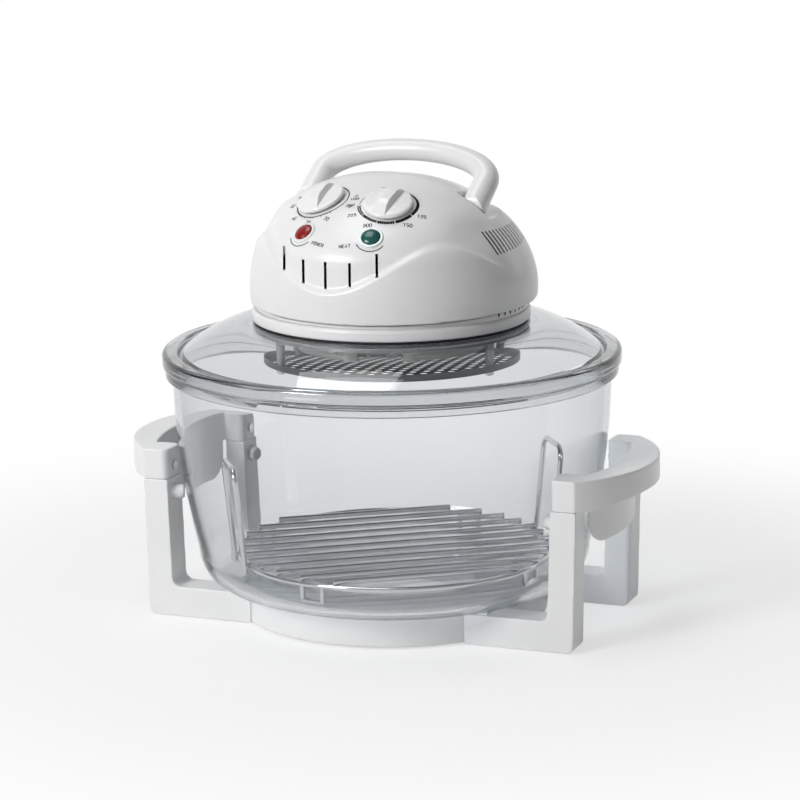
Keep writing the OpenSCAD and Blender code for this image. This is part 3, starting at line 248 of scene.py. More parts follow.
def soften(o, voxel, rounds):
    """Rounds every edge: the mesh is rebuilt in small even faces and smoothed."""
    r = o.modifiers.new("voxels", "REMESH")
    r.mode = "VOXEL"
    r.voxel_size = voxel * MM
    r.use_smooth_shade = True
    s = o.modifiers.new("soft", "SMOOTH")
    s.factor = 0.5
    s.iterations = rounds
    bpy.context.view_layer.update()
    settle(o)
    o.data.shade_smooth()
    return o


def copy_node(node, name):
    """A free copy of a CAD node's mesh."""
    o = bpy.data.objects.new(name, nodes[node].data.copy())
    scene.collection.objects.link(o)
    return o


def dress(o, mat):
    """Gives the whole object one material."""
    o.data.materials.clear()
    o.data.materials.append(M[mat])
    for p in o.data.polygons:
        p.material_index = 0
    return o


def place(o, node, body):
    """The piece stands for the CAD node on that body."""
    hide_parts(node)
    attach(o, body)
    return o


def to_head(points):
    """Head coordinates in mm to the row frame in m."""
    p = np.asarray(points, float).reshape(-1, 3)
    c, s = math.cos(HEAD_TURN), math.sin(HEAD_TURN)
    return np.stack([p[:, 0] * c - p[:, 1] * s, p[:, 0] * s + p[:, 1] * c, p[:, 2] + HEAD_Z], 1) * MM


def revolve(name, profile, mat, steps):
    """Turns a closed loop of (radius, height) points in mm about Z; its faces look outwards."""
    prof = np.asarray(profile, float)
    signed_area = np.sum(prof[:, 0] * np.roll(prof[:, 1], -1) - np.roll(prof[:, 0], -1) * prof[:, 1])
    if signed_area < 0:
        prof = prof[::-1]
    n = len(prof)
    verts, faces = [], []
    for i in range(steps):
        a = 2 * math.pi * i / steps
        for r, z in prof:
            verts.append((r * math.cos(a) * MM, r * math.sin(a) * MM, z * MM))
    for i in range(steps):
        k = (i + 1) % steps
        for j in range(n):
            m = (j + 1) % n
            faces.append((i * n + j, k * n + j, k * n + m, i * n + m))
    o = new_object(name, verts, faces, mat)
    w = o.modifiers.new("weld", "WELD")
    w.merge_threshold = 1e-6
    bpy.context.view_layer.update()
    settle(o)
    return shade(o, 30)


def arc(cx, cz, r, a0, a1, steps):
    """Points on an arc, with its angles in degrees."""
    return [(cx + r * math.cos(math.radians(a0 + (a1 - a0) * i / steps)),
             cz + r * math.sin(math.radians(a0 + (a1 - a0) * i / steps))) for i in range(steps + 1)]


def tube(name, path, radii, sides):
    """A round bar along points in mm, with a radius for each point."""
    p = np.asarray(path, float)
    n = len(p)
    tangents = np.zeros_like(p)
    for i in range(n):
        step = p[min(i + 1, n - 1)] - p[max(i - 1, 0)]
        tangents[i] = step / max(np.linalg.norm(step), 1e-9)
    start = np.array([0, 0, 1.0]) if abs(tangents[0][2]) < 0.9 else np.array([1.0, 0, 0])
    nrm = start - tangents[0] * np.dot(start, tangents[0])
    nrm /= np.linalg.norm(nrm)
    verts, faces = [], []
    for i in range(n):
        nrm = nrm - tangents[i] * np.dot(nrm, tangents[i])
        nrm /= np.linalg.norm(nrm)
        side = np.cross(tangents[i], nrm)
        for k in range(sides):
            a = 2 * math.pi * k / sides
            verts.append((p[i] + radii[i] * (math.cos(a) * nrm + math.sin(a) * side)) * MM)
    for i in range(n - 1):
        for k in range(sides):
            m = (k + 1) % sides
            faces.append((i * sides + k, i * sides + m, (i + 1) * sides + m, (i + 1) * sides + k))
    faces.append(tuple(range(sides))[::-1])
    faces.append(tuple((n - 1) * sides + k for k in range(sides)))
    return new_object(name, verts, faces, None, True, 50)


def join(name, parts):
    """Makes one object of several that keep their materials."""
    verts, faces, mats, idx = [], [], [], []
    for o in parts:
        base = len(verts)
        verts += [tuple(o.matrix_world @ v.co) for v in o.data.vertices]
        for m in o.data.materials:
            if m not in mats:
                mats.append(m)
        for p in o.data.polygons:
            faces.append(tuple(base + v for v in p.vertices))
            idx.append(mats.index(o.data.materials[p.material_index]))
    o = new_object(name, verts, faces, None)
    for m in mats:
        o.data.materials.append(m)
    for p, i in zip(o.data.polygons, idx):
        p.material_index = i
    o.data.set_sharp_from_angle(angle=math.radians(45))
    for q in parts:
        bpy.data.objects.remove(q, do_unlink=True)
    return o


def box_at(name, size, matrix):
    """A box in mm about the middle of a frame in mm."""
    x, y, z = [s / 2 for s in size]
    pts = [matrix @ Vector((sx * x, sy * y, sz * z)) for sx in (-1, 1) for sy in (-1, 1) for sz in (-1, 1)]
    faces = [(0, 1, 3, 2), (4, 6, 7, 5), (0, 4, 5, 1), (2, 3, 7, 6), (0, 2, 6, 4), (1, 5, 7, 3)]
    return new_object(name, [tuple(p * MM) for p in pts], faces, None, False)


# ---------------------------------------------------------------- the head's form

FRONT = np.array([[96.8, 11], [97, 23], [96.8, 35], [96.2, 45], [94.8, 56], [87.2, 67],
                  [74.5, 77], [60, 86], [43, 93.5], [23, 99.5], [0, 102]])
SIDE = np.array([[101.3, 13.5], [101.6, 24], [100.6, 34], [97.6, 45], [93, 56], [86.5, 66.5],
                 [78, 76], [66, 85.5], [48, 94.5], [25, 100.3], [0, 102]])
REAR = np.array([[105.8, 16], [106, 25], [104.5, 34], [101, 45], [95, 56], [85.5, 66],
                 [73.5, 74], [58, 83.5], [42, 92], [22, 99], [0, 102]])
CREST_AZ = 51.0
HEAD_TOP = 102.0
HEAD_EDGE = 13.5


def smooth(x):
    """A soft step from 0 to 1."""
    u = np.clip(x, 0, 1)
    return u * u * (3 - 2 * u)


def on_line(line, t):
    """A smooth curve through the line's points, at t from 0 to 1."""
    n = len(line) - 1
    t = np.asarray(t, float)
    k = np.minimum(n - 1, np.floor(t * n)).astype(int)
    u = (t * n - k)[..., None]
    g = lambda i: line[np.clip(i, 0, n)]
    a, b, c, d = g(k - 1), g(k), g(k + 1), g(k + 2)
    return b + u * ((c - a) + u * ((2 * a - 5 * b + 4 * c - d) + u * (3 * (b - c) + d - a))) / 2


def head_rz(t, az):
    """Radius and height of the head's outside; t runs from the edge to the top, az in degrees from the front."""
    t, az = np.broadcast_arrays(np.asarray(t, float), np.asarray(az, float))
    f, s, r = on_line(FRONT, t), on_line(SIDE, t), on_line(REAR, t)
    ca, c2 = np.cos(np.radians(az))[..., None], np.cos(np.radians(2 * az))[..., None]
    p = (f + 2 * s + r) / 4 + (f - r) / 2 * ca + (f - 2 * s + r) / 4 * c2
    z = p[..., 1]
    a = np.abs((az + 180) % 360 - 180)
    crease = 45.6 - 15 * np.cos(np.radians(a * 180 / CREST_AZ))
    fade = 1 - smooth((a - 62) / 24)
    inward = 3.2 * fade * smooth((z - crease) / 5) * (1 - smooth((z - 72) / 14))
    brow = 3.5 * np.exp(-((a - 62) / 20) ** 2 - ((z - 77) / 8) ** 2) * smooth((1 - t) * 4)
    return np.maximum(0, p[..., 0] - inward + brow), z


def head_top(x, y):
    """Height of the head's outside over a point, found by halving."""
    az = np.degrees(np.arctan2(x, -y))
    r = np.hypot(x, y)
    lo, hi = np.full_like(r, 0.25), np.ones_like(r)
    for _ in range(26):
        mid = (lo + hi) / 2
        out = head_rz(mid, az)[0] > r
        lo, hi = np.where(out, mid, lo), np.where(out, hi, mid)
    return head_rz((lo + hi) / 2, az)[1]


def head_normal(x, y):
    """The outside's normal over a point."""
    e = 0.4
    dx = (head_top(x + e, y) - head_top(x - e, y)) / (2 * e)
    dy = (head_top(x, y + e) - head_top(x, y - e)) / (2 * e)
    n = np.stack([-dx, -dy, np.ones_like(dx)], -1)
    return n / np.linalg.norm(n, axis=-1, keepdims=True)


def dome(name, inset, around, rings):
    """The head's form, closed below, moved in by that much."""
    top = 1 - 0.4 / rings
    t = np.linspace(0, top, rings)[:, None]
    az = np.linspace(0, 360, around, endpoint=False)[None, :]
    r, z = head_rz(t, az)
    r = r - inset
    drop = np.full_like(z, inset)
    drop[0] = 0.8 if inset > 0 else 0
    z = z - drop
    pts = np.stack([r * np.sin(np.radians(az)), -r * np.cos(np.radians(az)), z], -1).reshape(-1, 3)
    pts = np.vstack([pts, [[0, 0, HEAD_TOP - inset], [0, 0, HEAD_EDGE - (0.8 if inset > 0 else 0)]]])
    faces = []
    for j in range(rings - 1):
        for i in range(around):
            n = (i + 1) % around
            faces.append((j * around + i, j * around + n, (j + 1) * around + n, (j + 1) * around + i))
    last = rings * around
    for i in range(around):
        n = (i + 1) % around
        faces.append(((rings - 1) * around + i, (rings - 1) * around + n, last))
        faces.append((n, i, last + 1))
    return new_object(name, to_head(pts), faces, None, False)


def bail_outline(t, w, reach):
    """The carry handle's half ellipse above its straight legs."""
    return (w * math.cos(t), BAIL_LEG + (reach - BAIL_LEG) * math.sin(t))


def seat_cutter(name, thick):
    """What is cleared over the handle's seat: everything outside the crown's plan."""
    steps, far = 48, 130
    cw, cb = CROWN_W - thick, CROWN_BACK - thick
    front = PIVOT_Y - BAIL_ARM_R - 1 - thick
    loop, outside = [(cw, front)], [(far, front)]
    for i in range(steps + 1):
        a = math.pi * i / steps
        x, y = bail_outline(a, cw, cb)
        loop.append((x, PIVOT_Y + y))
        outside.append((far * math.cos(a), PIVOT_Y + far * math.sin(a)))
    loop.append((-cw, front))
    outside.append((-far, front))
    n = len(loop)
    lowz, topz = SHELF - thick, 150.0
    pts = []
    for z in (lowz, topz):
        pts += [(x, y, z) for x, y in loop]
        pts += [(x, y, z) for x, y in outside]
    faces = []
    for i in range(n - 1):
        faces.append((i, n + i, n + i + 1, i + 1))
        faces.append((2 * n + i, 2 * n + i + 1, 3 * n + i + 1, 3 * n + i))
        faces.append((i, i + 1, 2 * n + i + 1, 2 * n + i))
        faces.append((n + i, 3 * n + i, 3 * n + i + 1, n + i + 1))
    faces.append((0, 2 * n, 3 * n, n))
    faces.append((n - 1, n + n - 1, 3 * n + n - 1, 2 * n + n - 1))
    return new_object(name, to_head(pts), [f[::-1] for f in faces], None, False)


def panel_frame(x, y):
    """Point on the panel, and its tangents to the right and up the slope, and its normal (head, mm)."""
    x, y = np.array([x], float), np.array([y], float)
    n = head_normal(x, y)[0]
    o = np.array([x[0], y[0], head_top(x, y)[0]])
    right = np.array([-n[1], n[0], 0])
    right = right / np.linalg.norm(right)
    up = np.cross(n, right)
    return o, right, up, n


def on_surface(origin, right, up, normal, a, b, lift):
    """Lays flat points (a right, b up) on the head's outside, that much above it."""
    a, b = np.asarray(a, float), np.asarray(b, float)
    flat = origin + a[:, None] * right + b[:, None] * up
    s = np.zeros(len(a))
    for _ in range(8):
        p = flat - s[:, None] * normal
        s = s + (p[:, 2] - head_top(p[:, 0], p[:, 1])) * normal[2]
    p = flat - s[:, None] * normal
    return p + head_normal(p[:, 0], p[:, 1]) * lift


# ---------------------------------------------------------------- housing

def cylinder_at(name, radius, low, high, matrix, sides=64):
    """A cylinder along Z of a frame in mm."""
    pts, faces = [], []
    for z in (low, high):
        for i in range(sides):
            a = 2 * math.pi * i / sides
            pts.append(matrix @ Vector((radius * math.cos(a), radius * math.sin(a), z)))
    for i in range(sides):
        j = (i + 1) % sides
        faces.append((i, j, sides + j, sides + i))
    faces.append(tuple(range(sides))[::-1])
    faces.append(tuple(sides + i for i in range(sides)))
    return new_object(name, [tuple(p * MM) for p in pts], faces, None, False)


# The head's frame, in millimetres and in metres
HEAD = Matrix.Translation((0, 0, HEAD_Z)) @ Matrix.Rotation(HEAD_TURN, 4, "Z")
HEAD_M = Matrix.Translation((0, 0, HEAD_Z * MM)) @ Matrix.Rotation(HEAD_TURN, 4, "Z")


def panel_matrix(x, y):
    """A frame in mm on the head's outside over that point, with Z outwards."""
    o, right, up, n = panel_frame(x, y)
    m = Matrix(((right[0], up[0], n[0], o[0]), (right[1], up[1], n[1], o[1]),
                (right[2], up[2], n[2], o[2]), (0, 0, 0, 1)))
    return HEAD @ m


def azimuth_matrix(az, r, z):
    """A frame in mm at that azimuth from the head's front, with X outwards."""
    a = math.radians(az - 90)
    return HEAD @ Matrix.Rotation(a, 4, "Z") @ Matrix.Translation((r, 0, z))


def crown_groove(name, y, width, depth):
    """A thin strip that follows the crown's top from side to side."""
    xs = np.linspace(-56.5, 56.5, 90)
    tops = head_top(xs, np.full_like(xs, y))
    pts, faces = [], []
    for x, z in zip(xs, tops):
        pts += [(x, y - width / 2, z - depth), (x, y + width / 2, z - depth),
                (x, y + width / 2, z + 2), (x, y - width / 2, z + 2)]
    for i in range(len(xs) - 1):
        a, b = 4 * i, 4 * (i + 1)
        for k in range(4):
            m = (k + 1) % 4
            faces.append((a + k, b + k, b + m, a + m))
    e = 4 * (len(xs) - 1)
    faces += [(0, 1, 2, 3), (e + 3, e + 2, e + 1, e)]
    return new_object(name, to_head(pts), [f[::-1] for f in faces], None, False)


outer = dome("housing", 0.0, 300, 110)
inner = dome("housing_inside", SHELL, 200, 80)
boolean(outer, [seat_cutter("cut_a", 0.0)])
boolean(inner, [seat_cutter("cut_b", SHELL)])
boolean(outer, [inner])
soften(outer, 0.8, 5)
cutters = [crown_groove("parting", -1.5, 0.8, 0.9)]

# Low end, high end and distance from the axis of the middle slot, the next ones and the outer ones
SLOTS = ((34.5, 53, 95), (37, 53.2, 93.5), (44, 59.5, 88))
SLOT_STEP, SLOT_WIDE, SLOT_DEEP = 18, 1.8, 22
SLOT_SKEW = math.radians(28)
for i in range(-2, 3):
    lo, hi, out = SLOTS[abs(i)]
    m = HEAD @ Matrix.Translation((i * SLOT_STEP, -out, (lo + hi) / 2)) @ Matrix.Rotation(SLOT_SKEW, 4, "Z")
    cutters.append(box_at("slot", (SLOT_WIDE, SLOT_DEEP, hi - lo), m))

VENTS, VENT_WIDE, VENT_DEEP = 12, 1.25, 24
VENT_TILT = 21
for side in (1, -1):
    for i in range(VENTS):
        az = side * (77.7 + 2.15 * i + 0.09 * i * i)
        m = azimuth_matrix(az, 93, 60.3 + 0.1 * i) @ Matrix.Rotation(math.radians(VENT_TILT * side), 4, "X")
        cutters.append(box_at("vent", (VENT_DEEP, VENT_WIDE, 17.5 - 0.3 * i), m))
for side in (-1, 1):
    cutters.append(cylinder_at("lamp_hole", 8.65, -7, 7, panel_matrix(side * KNOB_X, LAMP_Y)))
    cutters.append(cylinder_at("stem_hole", 4.2, -7, 7, panel_matrix(side * KNOB_X, KNOB_Y)))
gland_at = azimuth_matrix(180, 90, 32) @ Matrix.Rotation(math.pi / 2, 4, "Y")
cutters.append(cylinder_at("gland_hole", 7.05, 0, 30, gland_at))
switch_at = HEAD @ Matrix.Translation((0, PIVOT_Y + BAIL_REACH, SHELF))
cutters.append(cylinder_at("switch_hole", 2.7, -12, 12, switch_at))
boolean(outer, cutters, solver="MANIFOLD")
shade(outer, 50)
dress(outer, "white_plastic")
outer.data.materials.append(M["inside_painted_shade"])
inside_from = Vector((0, 0, (HEAD_Z + 20) * MM))
for q in outer.data.polygons:
    # What looks towards the middle is the housing's inside, which gets near-black painted shade
    if q.normal.dot(q.center - inside_from) < -0.006 * q.center.length:
        q.material_index = 1
place(outer, "head_housing", "lid")
outer.name = "head_housing_form"


# ---------------------------------------------------------------- collar

TRI_FIRST, TRI_STEP, TRI_LAST = 78, 4.2, 282
TRI_Z, TRI_HALF, TRI_HIGH = 8.9, 1.45, 3.3
collar_profile = ([(70, 0), (97.1, 0)] + arc(97.1, 1.2, 1.2, -90, 0, 5) + arc(98.3 - 3, 8.5 - 3, 3, 0, 90, 10)
                  + [(93.8, 8.5)] + arc(93.8, 9.1, 0.6, -90, -180, 5)
                  + [(93.2, 22), (90.4, 22), (90.4, 4), (70, 4)])
collar = revolve("collar_form", collar_profile, None, 300)
collar.data.transform(Matrix.Translation((0, 0, HEAD_Z * MM)))


def neck_band():
    """The band between the collar and the housing's edge, which it follows a little further in."""
    steps = 360
    az = np.linspace(0, 360, steps, endpoint=False)
    r, z = head_rz(0.0, az)
    out_r = np.minimum(96.4, r - 3.3)
    top = np.minimum(z - 0.6, 14.5)
    pts = []
    for a, ro, zt in zip(np.radians(az), out_r, top):
        for rr, zz in ((91.5, 7.5), (ro, 7.5), (ro, zt - 0.5), (ro - 0.5, zt), (91.5, zt)):
            pts.append((rr * math.sin(a), -rr * math.cos(a), zz))
    faces = []
    for i in range(steps):
        k = (i + 1) % steps
        for j in range(5):
            m = (j + 1) % 5
            faces.append((i * 5 + j, k * 5 + j, k * 5 + m, i * 5 + m))
    return new_object("neck_band", to_head(pts), faces, None, False)


band = neck_band()
tri_cuts = []
for i in range(int((TRI_LAST - TRI_FIRST) / TRI_STEP) + 1):
    m = azimuth_matrix(TRI_FIRST + TRI_STEP * i, 95, TRI_Z)
    pts = [m @ Vector((x, y, z)) for x in (-6, 4)
           for y, z in ((0, 0), (TRI_HALF, TRI_HIGH), (-TRI_HALF, TRI_HIGH))]
    tri_cuts.append(new_object("tri", [tuple(p * MM) for p in pts],
                               [(0, 2, 1), (3, 4, 5), (0, 1, 4, 3), (1, 2, 5, 4), (2, 0, 3, 5)], None, False))
boolean(collar, [band], "UNION", "MANIFOLD")
boolean(collar, tri_cuts, solver="MANIFOLD")
shade(collar, 35)
dress(collar, "white_plastic")
collar.data.materials.append(M["inside_painted_shade"])
for q in collar.data.polygons:
    # The sides of the triangular holes get near-black painted shade
    spot = q.center / MM
    flat = math.hypot(spot.x, spot.y)
    radial = abs(q.normal.x * spot.x + q.normal.y * spot.y) / flat
    if TRI_Z - 0.3 < spot.z - HEAD_Z < TRI_Z + TRI_HIGH + 0.3 and radial < 0.4:
        q.material_index = 1
place(collar, "head_collar", "lid")


# ---------------------------------------------------------------- glass

BOWL_LOW, BOWL_NECK = BOWL_Z + BOWL_CORNER, BOWL_TOP - 8.1


def bowl_outer(z):
    """Radius of the bowl's outside between its bottom corner and its neck."""
    s = min(1, max(0, (z - BOWL_LOW) / (BOWL_NECK - BOWL_LOW)))
    return BOWL_R - (BOWL_R - 139.8) * (1 - s) ** 1.9


def bowl_profile():
    low, top, wall = BOWL_LOW, BOWL_NECK, BOWL_WALL
    zs = [low + (top - low) * i / 24 for i in range(1, 24)]
    p = [(0.01, BOWL_Z), (60, BOWL_Z)] + arc(113.8, low, BOWL_CORNER, -90, 0, 24) + [(bowl_outer(z), z) for z in zs]
    p += [(BOWL_R, top - 1.6)] + arc(157.6, top - 1.6, 2.4, 180, 120, 5)[1:]
    p += arc(158.7, top + 2.1, 1.8, -60, 0, 5) + arc(159.0, BOWL_TOP - 1.5, 1.5, 0, 90, 6)
    p += arc(BOWL_R - wall + 1.5, BOWL_TOP - 1.5, 1.5, 90, 180, 6)
    p += [(bowl_outer(z) - wall, z) for z in zs[::-1]]
    p += arc(113.8, low, BOWL_CORNER - wall, 0, -90, 24) + [(60, BOWL_Z + wall), (0.01, BOWL_Z + wall)]
    return p


bowl = revolve("bowl_glass", bowl_profile(), M["clear_glass"], 320)
place(bowl, "glass_bowl", "bowl")

LID_IN = 150.8
FLAT = 99.5


def lid_face(r):
    """Height of the lid's upper face."""
    return LID_TOP - (LID_TOP - LID_Z - 9.7 + 2.5) * (max(0, r - FLAT) / (LID_IN - FLAT)) ** 1.7


def lid_profile():
    rs = [FLAT + (LID_IN - FLAT) * i / 24 for i in range(25)]
    p = [(91.5, LID_TOP - LID_WALL), (91.5, LID_TOP)] + [(r, lid_face(r)) for r in rs]
    p += [(151.4, LID_Z + 7.9), (152.2, LID_Z + 9.2), (153.6, LID_Z + 9.7)]
    p += arc(159.5, LID_Z + 6.7, 3, 90, 0, 8) + arc(161.5, LID_Z + 1, 1, 0, -90, 4)
    p += [(149.4, LID_Z), (149.4, LID_Z - 5), (145.4, LID_Z - 5), (145.4, lid_face(145.4) - LID_WALL)]
    p += [(r, lid_face(r) - LID_WALL) for r in rs[::-1] if r < 145]
    return p


lid = revolve("lid_glass", lid_profile(), M["clear_glass"], 320)
place(lid, "glass_lid", "lid")


# ---------------------------------------------------------------- stand

def soft_node(node, body, voxel, rounds, mat="white_plastic"):
    """The CAD node's own form with its edges rounded."""
    o = copy_node(node, node + "_form")
    soften(o, voxel, rounds)
    dress(o, mat)
    return place(o, node, body)


for n in ("leg_front_left", "leg_front_right", "leg_rear_left", "leg_rear_right"):
    soft_node(n, "stand", 0.7, 5)
soft_node("base_ring", "stand", 0.9, 4)
for n in ("handle_left", "handle_right"):
    soft_node(n, "stand", 0.7, 8)
soft_node("bowl_bumpers", "stand", 0.5, 3, "white_rubber")


# ---------------------------------------------------------------- handle and knobs

def bail_form():
    """The carry handle: a bar that thins towards its middle, with round eyes and blind holes for its pins."""
    steps, sides = 140, 36
    dense = [(BAIL_W, BAIL_LEG * i / 400) for i in range(400)]
    dense += [bail_outline(math.pi * i / 3000, BAIL_W, BAIL_REACH) for i in range(3001)]
    dense += [(-BAIL_W, BAIL_LEG * i / 400) for i in range(399, -1, -1)]
    dense = np.array([(x, 0, y) for x, y in dense])
    gone = np.concatenate([[0], np.cumsum(np.linalg.norm(np.diff(dense, axis=0), axis=1))])
    want = np.linspace(0, gone[-1], steps)
    path = np.stack([np.interp(want, gone, dense[:, k]) for k in range(3)], 1)
    thick = BAIL_ARM_R - (BAIL_ARM_R - BAIL_R) * (path[:, 2] / BAIL_REACH) ** 2
    low = path[0] - [0, 0, 2 * BAIL_ARM_R]
    high = path[-1] - [0, 0, 2 * BAIL_ARM_R]
    path = np.vstack([low[None], path, high[None]])
    thick = np.concatenate([[BAIL_ARM_R], thick, [BAIL_ARM_R]])
    o = tube("bail", path, thick, sides)
    cuts = []
    for s in (-1, 1):
        m = Matrix.Translation((s * BAIL_W, 0, 0)) @ Matrix.Rotation(math.pi / 2, 4, "Y")
        eye = cylinder_at("eye", BAIL_ARM_R, -16, 16, m, 96)
        end = box_at("end", (30, 30, 24), Matrix.Translation((s * BAIL_W, 0, -12)))
        boolean(end, [eye])
        cuts.append(end)
        m = Matrix.Translation((s * (BAIL_W - 8), 0, 0)) @ Matrix.Rotation(math.pi / 2, 4, "Y")
        cuts.append(cylinder_at("pin_hole", 3.05, -12.8, 12.8, m, 48))
    boolean(o, cuts)
    soften(o, 0.6, 4)
    o.data.transform(HEAD_M @ Matrix.Translation((0, PIVOT_Y * MM, PIVOT_Z * MM))
                     @ Matrix.Rotation(-BAIL_LEAN, 4, "X"))
    dress(o, "white_plastic")
    return o


handle = bail_form()
handle.name = "carry_handle_form"
place(handle, "carry_handle", "handle")

# The knobs are lower than in the solids; so is what their stems show above the panel
KNOB_FLAT = 0.60
CAD_SHARP = 32
for n, b, side in (("timer_knob", "timer", -1), ("thermostat_knob", "thermostat", 1)):
    o = soft_node(n, b, 0.35, 6, "white_knob")
    m = panel_matrix(side * KNOB_X, KNOB_Y)
    m.translation = m.translation * MM
    o.data.transform(m @ Matrix.Scale(KNOB_FLAT, 4, (0, 0, 1)) @ m.inverted())
    node = b + "_stem"
    o = copy_node(node, node + "_form")
    o.data.transform(m.inverted())
    for v in o.data.vertices:
        if v.co.z > 0:
            v.co.z *= KNOB_FLAT
    o.data.transform(m)
    shade(dress(o, SLOT[node]), CAD_SHARP)
    place(o, node, b)


# ---------------------------------------------------------------- dial print

PRINT_LIFT = 0.12
LETTER_WIDE = 0.5


def ribbon(name, at, points, width):
    """A printed line of that width along flat points of a panel frame."""
    p = np.asarray(points, float)
    n = len(p)
    off = np.zeros_like(p)
    for i in range(n):
        d = p[min(i + 1, n - 1)] - p[max(i - 1, 0)]
        d = d / max(np.linalg.norm(d), 1e-9)
        off[i] = (-d[1], d[0])
    both = np.vstack([p + off * width / 2, p - off * width / 2])
    pts = on_surface(*at, both[:, 0], both[:, 1], PRINT_LIFT)
    faces = [(i, n + i, n + i + 1, i + 1) for i in range(n - 1)]
    return new_object(name, to_head(pts), faces, M["print_ink"], False)


# The strokes of each sign, in a box 0.6 wide and 1 high
STROKES = {
    "0": [[(0, 0.2), (0, 0.8), (0.15, 1), (0.45, 1), (0.6, 0.8), (0.6, 0.2), (0.45, 0), (0.15, 0), (0, 0.2)]],
    "1": [[(0.1, 0.8), (0.35, 1), (0.35, 0)]],
    "2": [[(0, 0.8), (0.15, 1), (0.45, 1), (0.6, 0.8), (0.6, 0.6), (0, 0), (0.6, 0)]],
    "3": [[(0, 0.9), (0.2, 1), (0.5, 0.95), (0.6, 0.75), (0.3, 0.53), (0.6, 0.3), (0.5, 0.05), (0.2, 0), (0, 0.1)]],
    "4": [[(0.45, 0), (0.45, 1), (0, 0.3), (0.62, 0.3)]],
    "5": [[(0.55, 1), (0.08, 1), (0.04, 0.55), (0.4, 0.6), (0.6, 0.4), (0.55, 0.1), (0.3, 0), (0, 0.1)]],
    "6": [[(0.5, 1), (0.15, 0.75), (0, 0.35), (0.15, 0), (0.45, 0), (0.6, 0.3), (0.4, 0.55), (0.05, 0.4)]],
    "7": [[(0, 1), (0.6, 1), (0.25, 0)]],
    "8": [[(0.3, 0.55), (0.05, 0.75), (0.3, 1), (0.55, 0.75), (0.3, 0.55), (0, 0.25), (0.3, 0), (0.6, 0.25),
           (0.3, 0.55)]],
    "9": [[(0.1, 0), (0.45, 0.25), (0.6, 0.65), (0.45, 1), (0.15, 1), (0, 0.7), (0.2, 0.45), (0.55, 0.6)]],
    "A": [[(0, 0), (0.3, 1), (0.6, 0)], [(0.12, 0.36), (0.48, 0.36)]],
    "E": [[(0.6, 1), (0, 1), (0, 0), (0.6, 0)], [(0, 0.52), (0.5, 0.52)]],
    "H": [[(0, 0), (0, 1)], [(0.6, 0), (0.6, 1)], [(0, 0.52), (0.6, 0.52)]],
    "M": [[(0, 0), (0, 1), (0.3, 0.4), (0.6, 1), (0.6, 0)]],
    "O": [[(0.1, 0), (0, 0.2), (0, 0.8), (0.1, 1), (0.5, 1), (0.6, 0.8), (0.6, 0.2), (0.5, 0), (0.1, 0)]],
    "P": [[(0, 0), (0, 1), (0.45, 1), (0.6, 0.85), (0.6, 0.6), (0.45, 0.45), (0, 0.45)]],
    "R": [[(0, 0), (0, 1), (0.45, 1), (0.6, 0.85), (0.6, 0.62), (0.45, 0.48), (0, 0.48)], [(0.3, 0.48), (0.6, 0)]],
    "T": [[(0, 1), (0.6, 1)], [(0.3, 1), (0.3, 0)]],
    "W": [[(0, 1), (0.14, 0), (0.32, 0.65), (0.5, 0), (0.64, 1)]],
}


def lettering(parts, at, text, cx, cy, height, tilt=0.0):
    """Numbers or a word about a flat point of a panel frame."""
    advance = 0.88 * height
    c, s = math.cos(math.radians(tilt)), math.sin(math.radians(tilt))
    x = -advance * len(text) / 2 + 0.14 * height
    for ch in text:
        for line in STROKES[ch]:
            flat = [(x + px * height, (py - 0.5) * height) for px, py in line]
            turned = [(cx + a * c - b * s, cy + a * s + b * c) for a, b in flat]
            parts.append(ribbon("letter", at, turned, LETTER_WIDE))
        x += advance


def polar(r, a):
    return (r * math.cos(math.radians(a)), r * math.sin(math.radians(a)))


# Radius of the printed rings, which are a little flattened, and lie a little above the knobs' middle
RING = 20.2
DIAL_SQUASH, DIAL_RISE = 0.90, 0.9


def dial_at(r, a):
    x, y = polar(r, a)
    return (x, DIAL_SQUASH * y + DIAL_RISE)


def dial_arc(parts, at, a0, a1, width, steps=4):
    flat = [dial_at(RING, a0 + (a1 - a0) * i / steps) for i in range(steps + 1)]
    parts.append(ribbon("arc", at, flat, width))


def dial_tick(parts, at, r0, r1, a, width):
    parts.append(ribbon("tick", at, [dial_at(r0, a), dial_at(r1, a)], width))


prints, blanks = [], []
# The timer's ring: a line, a short line on its left, dots between them, and its scale
timer_at = panel_frame(-KNOB_X, KNOB_Y)
heat_at = panel_frame(KNOB_X, KNOB_Y)
dial_arc(prints, timer_at, -58, 122, 0.75, steps=90)
dial_arc(prints, timer_at, 183, 262, 0.75, steps=40)
for i in range(14):
    dial_arc(prints, timer_at, 124 + 4.2 * i, 126.8 + 4.2 * i, 0.6)
for i in range(13):
    dial_arc(prints, timer_at, 264 + 3 * i, 266.2 + 3 * i, 0.8)
for i in range(19):
    dial_tick(prints, timer_at, RING, RING + (1.8 if i % 3 == 0 else 1.0), -152 + i * 120 / 18, 0.4)
for text, a in (("60", 176), ("50", -156), ("40", -116), ("30", -78), ("20", -44), ("10", 2), ("5", 34)):
    x, y = dial_at(25.0, a)
    lettering(prints, timer_at, text, x * 1.05, y, 2.7)
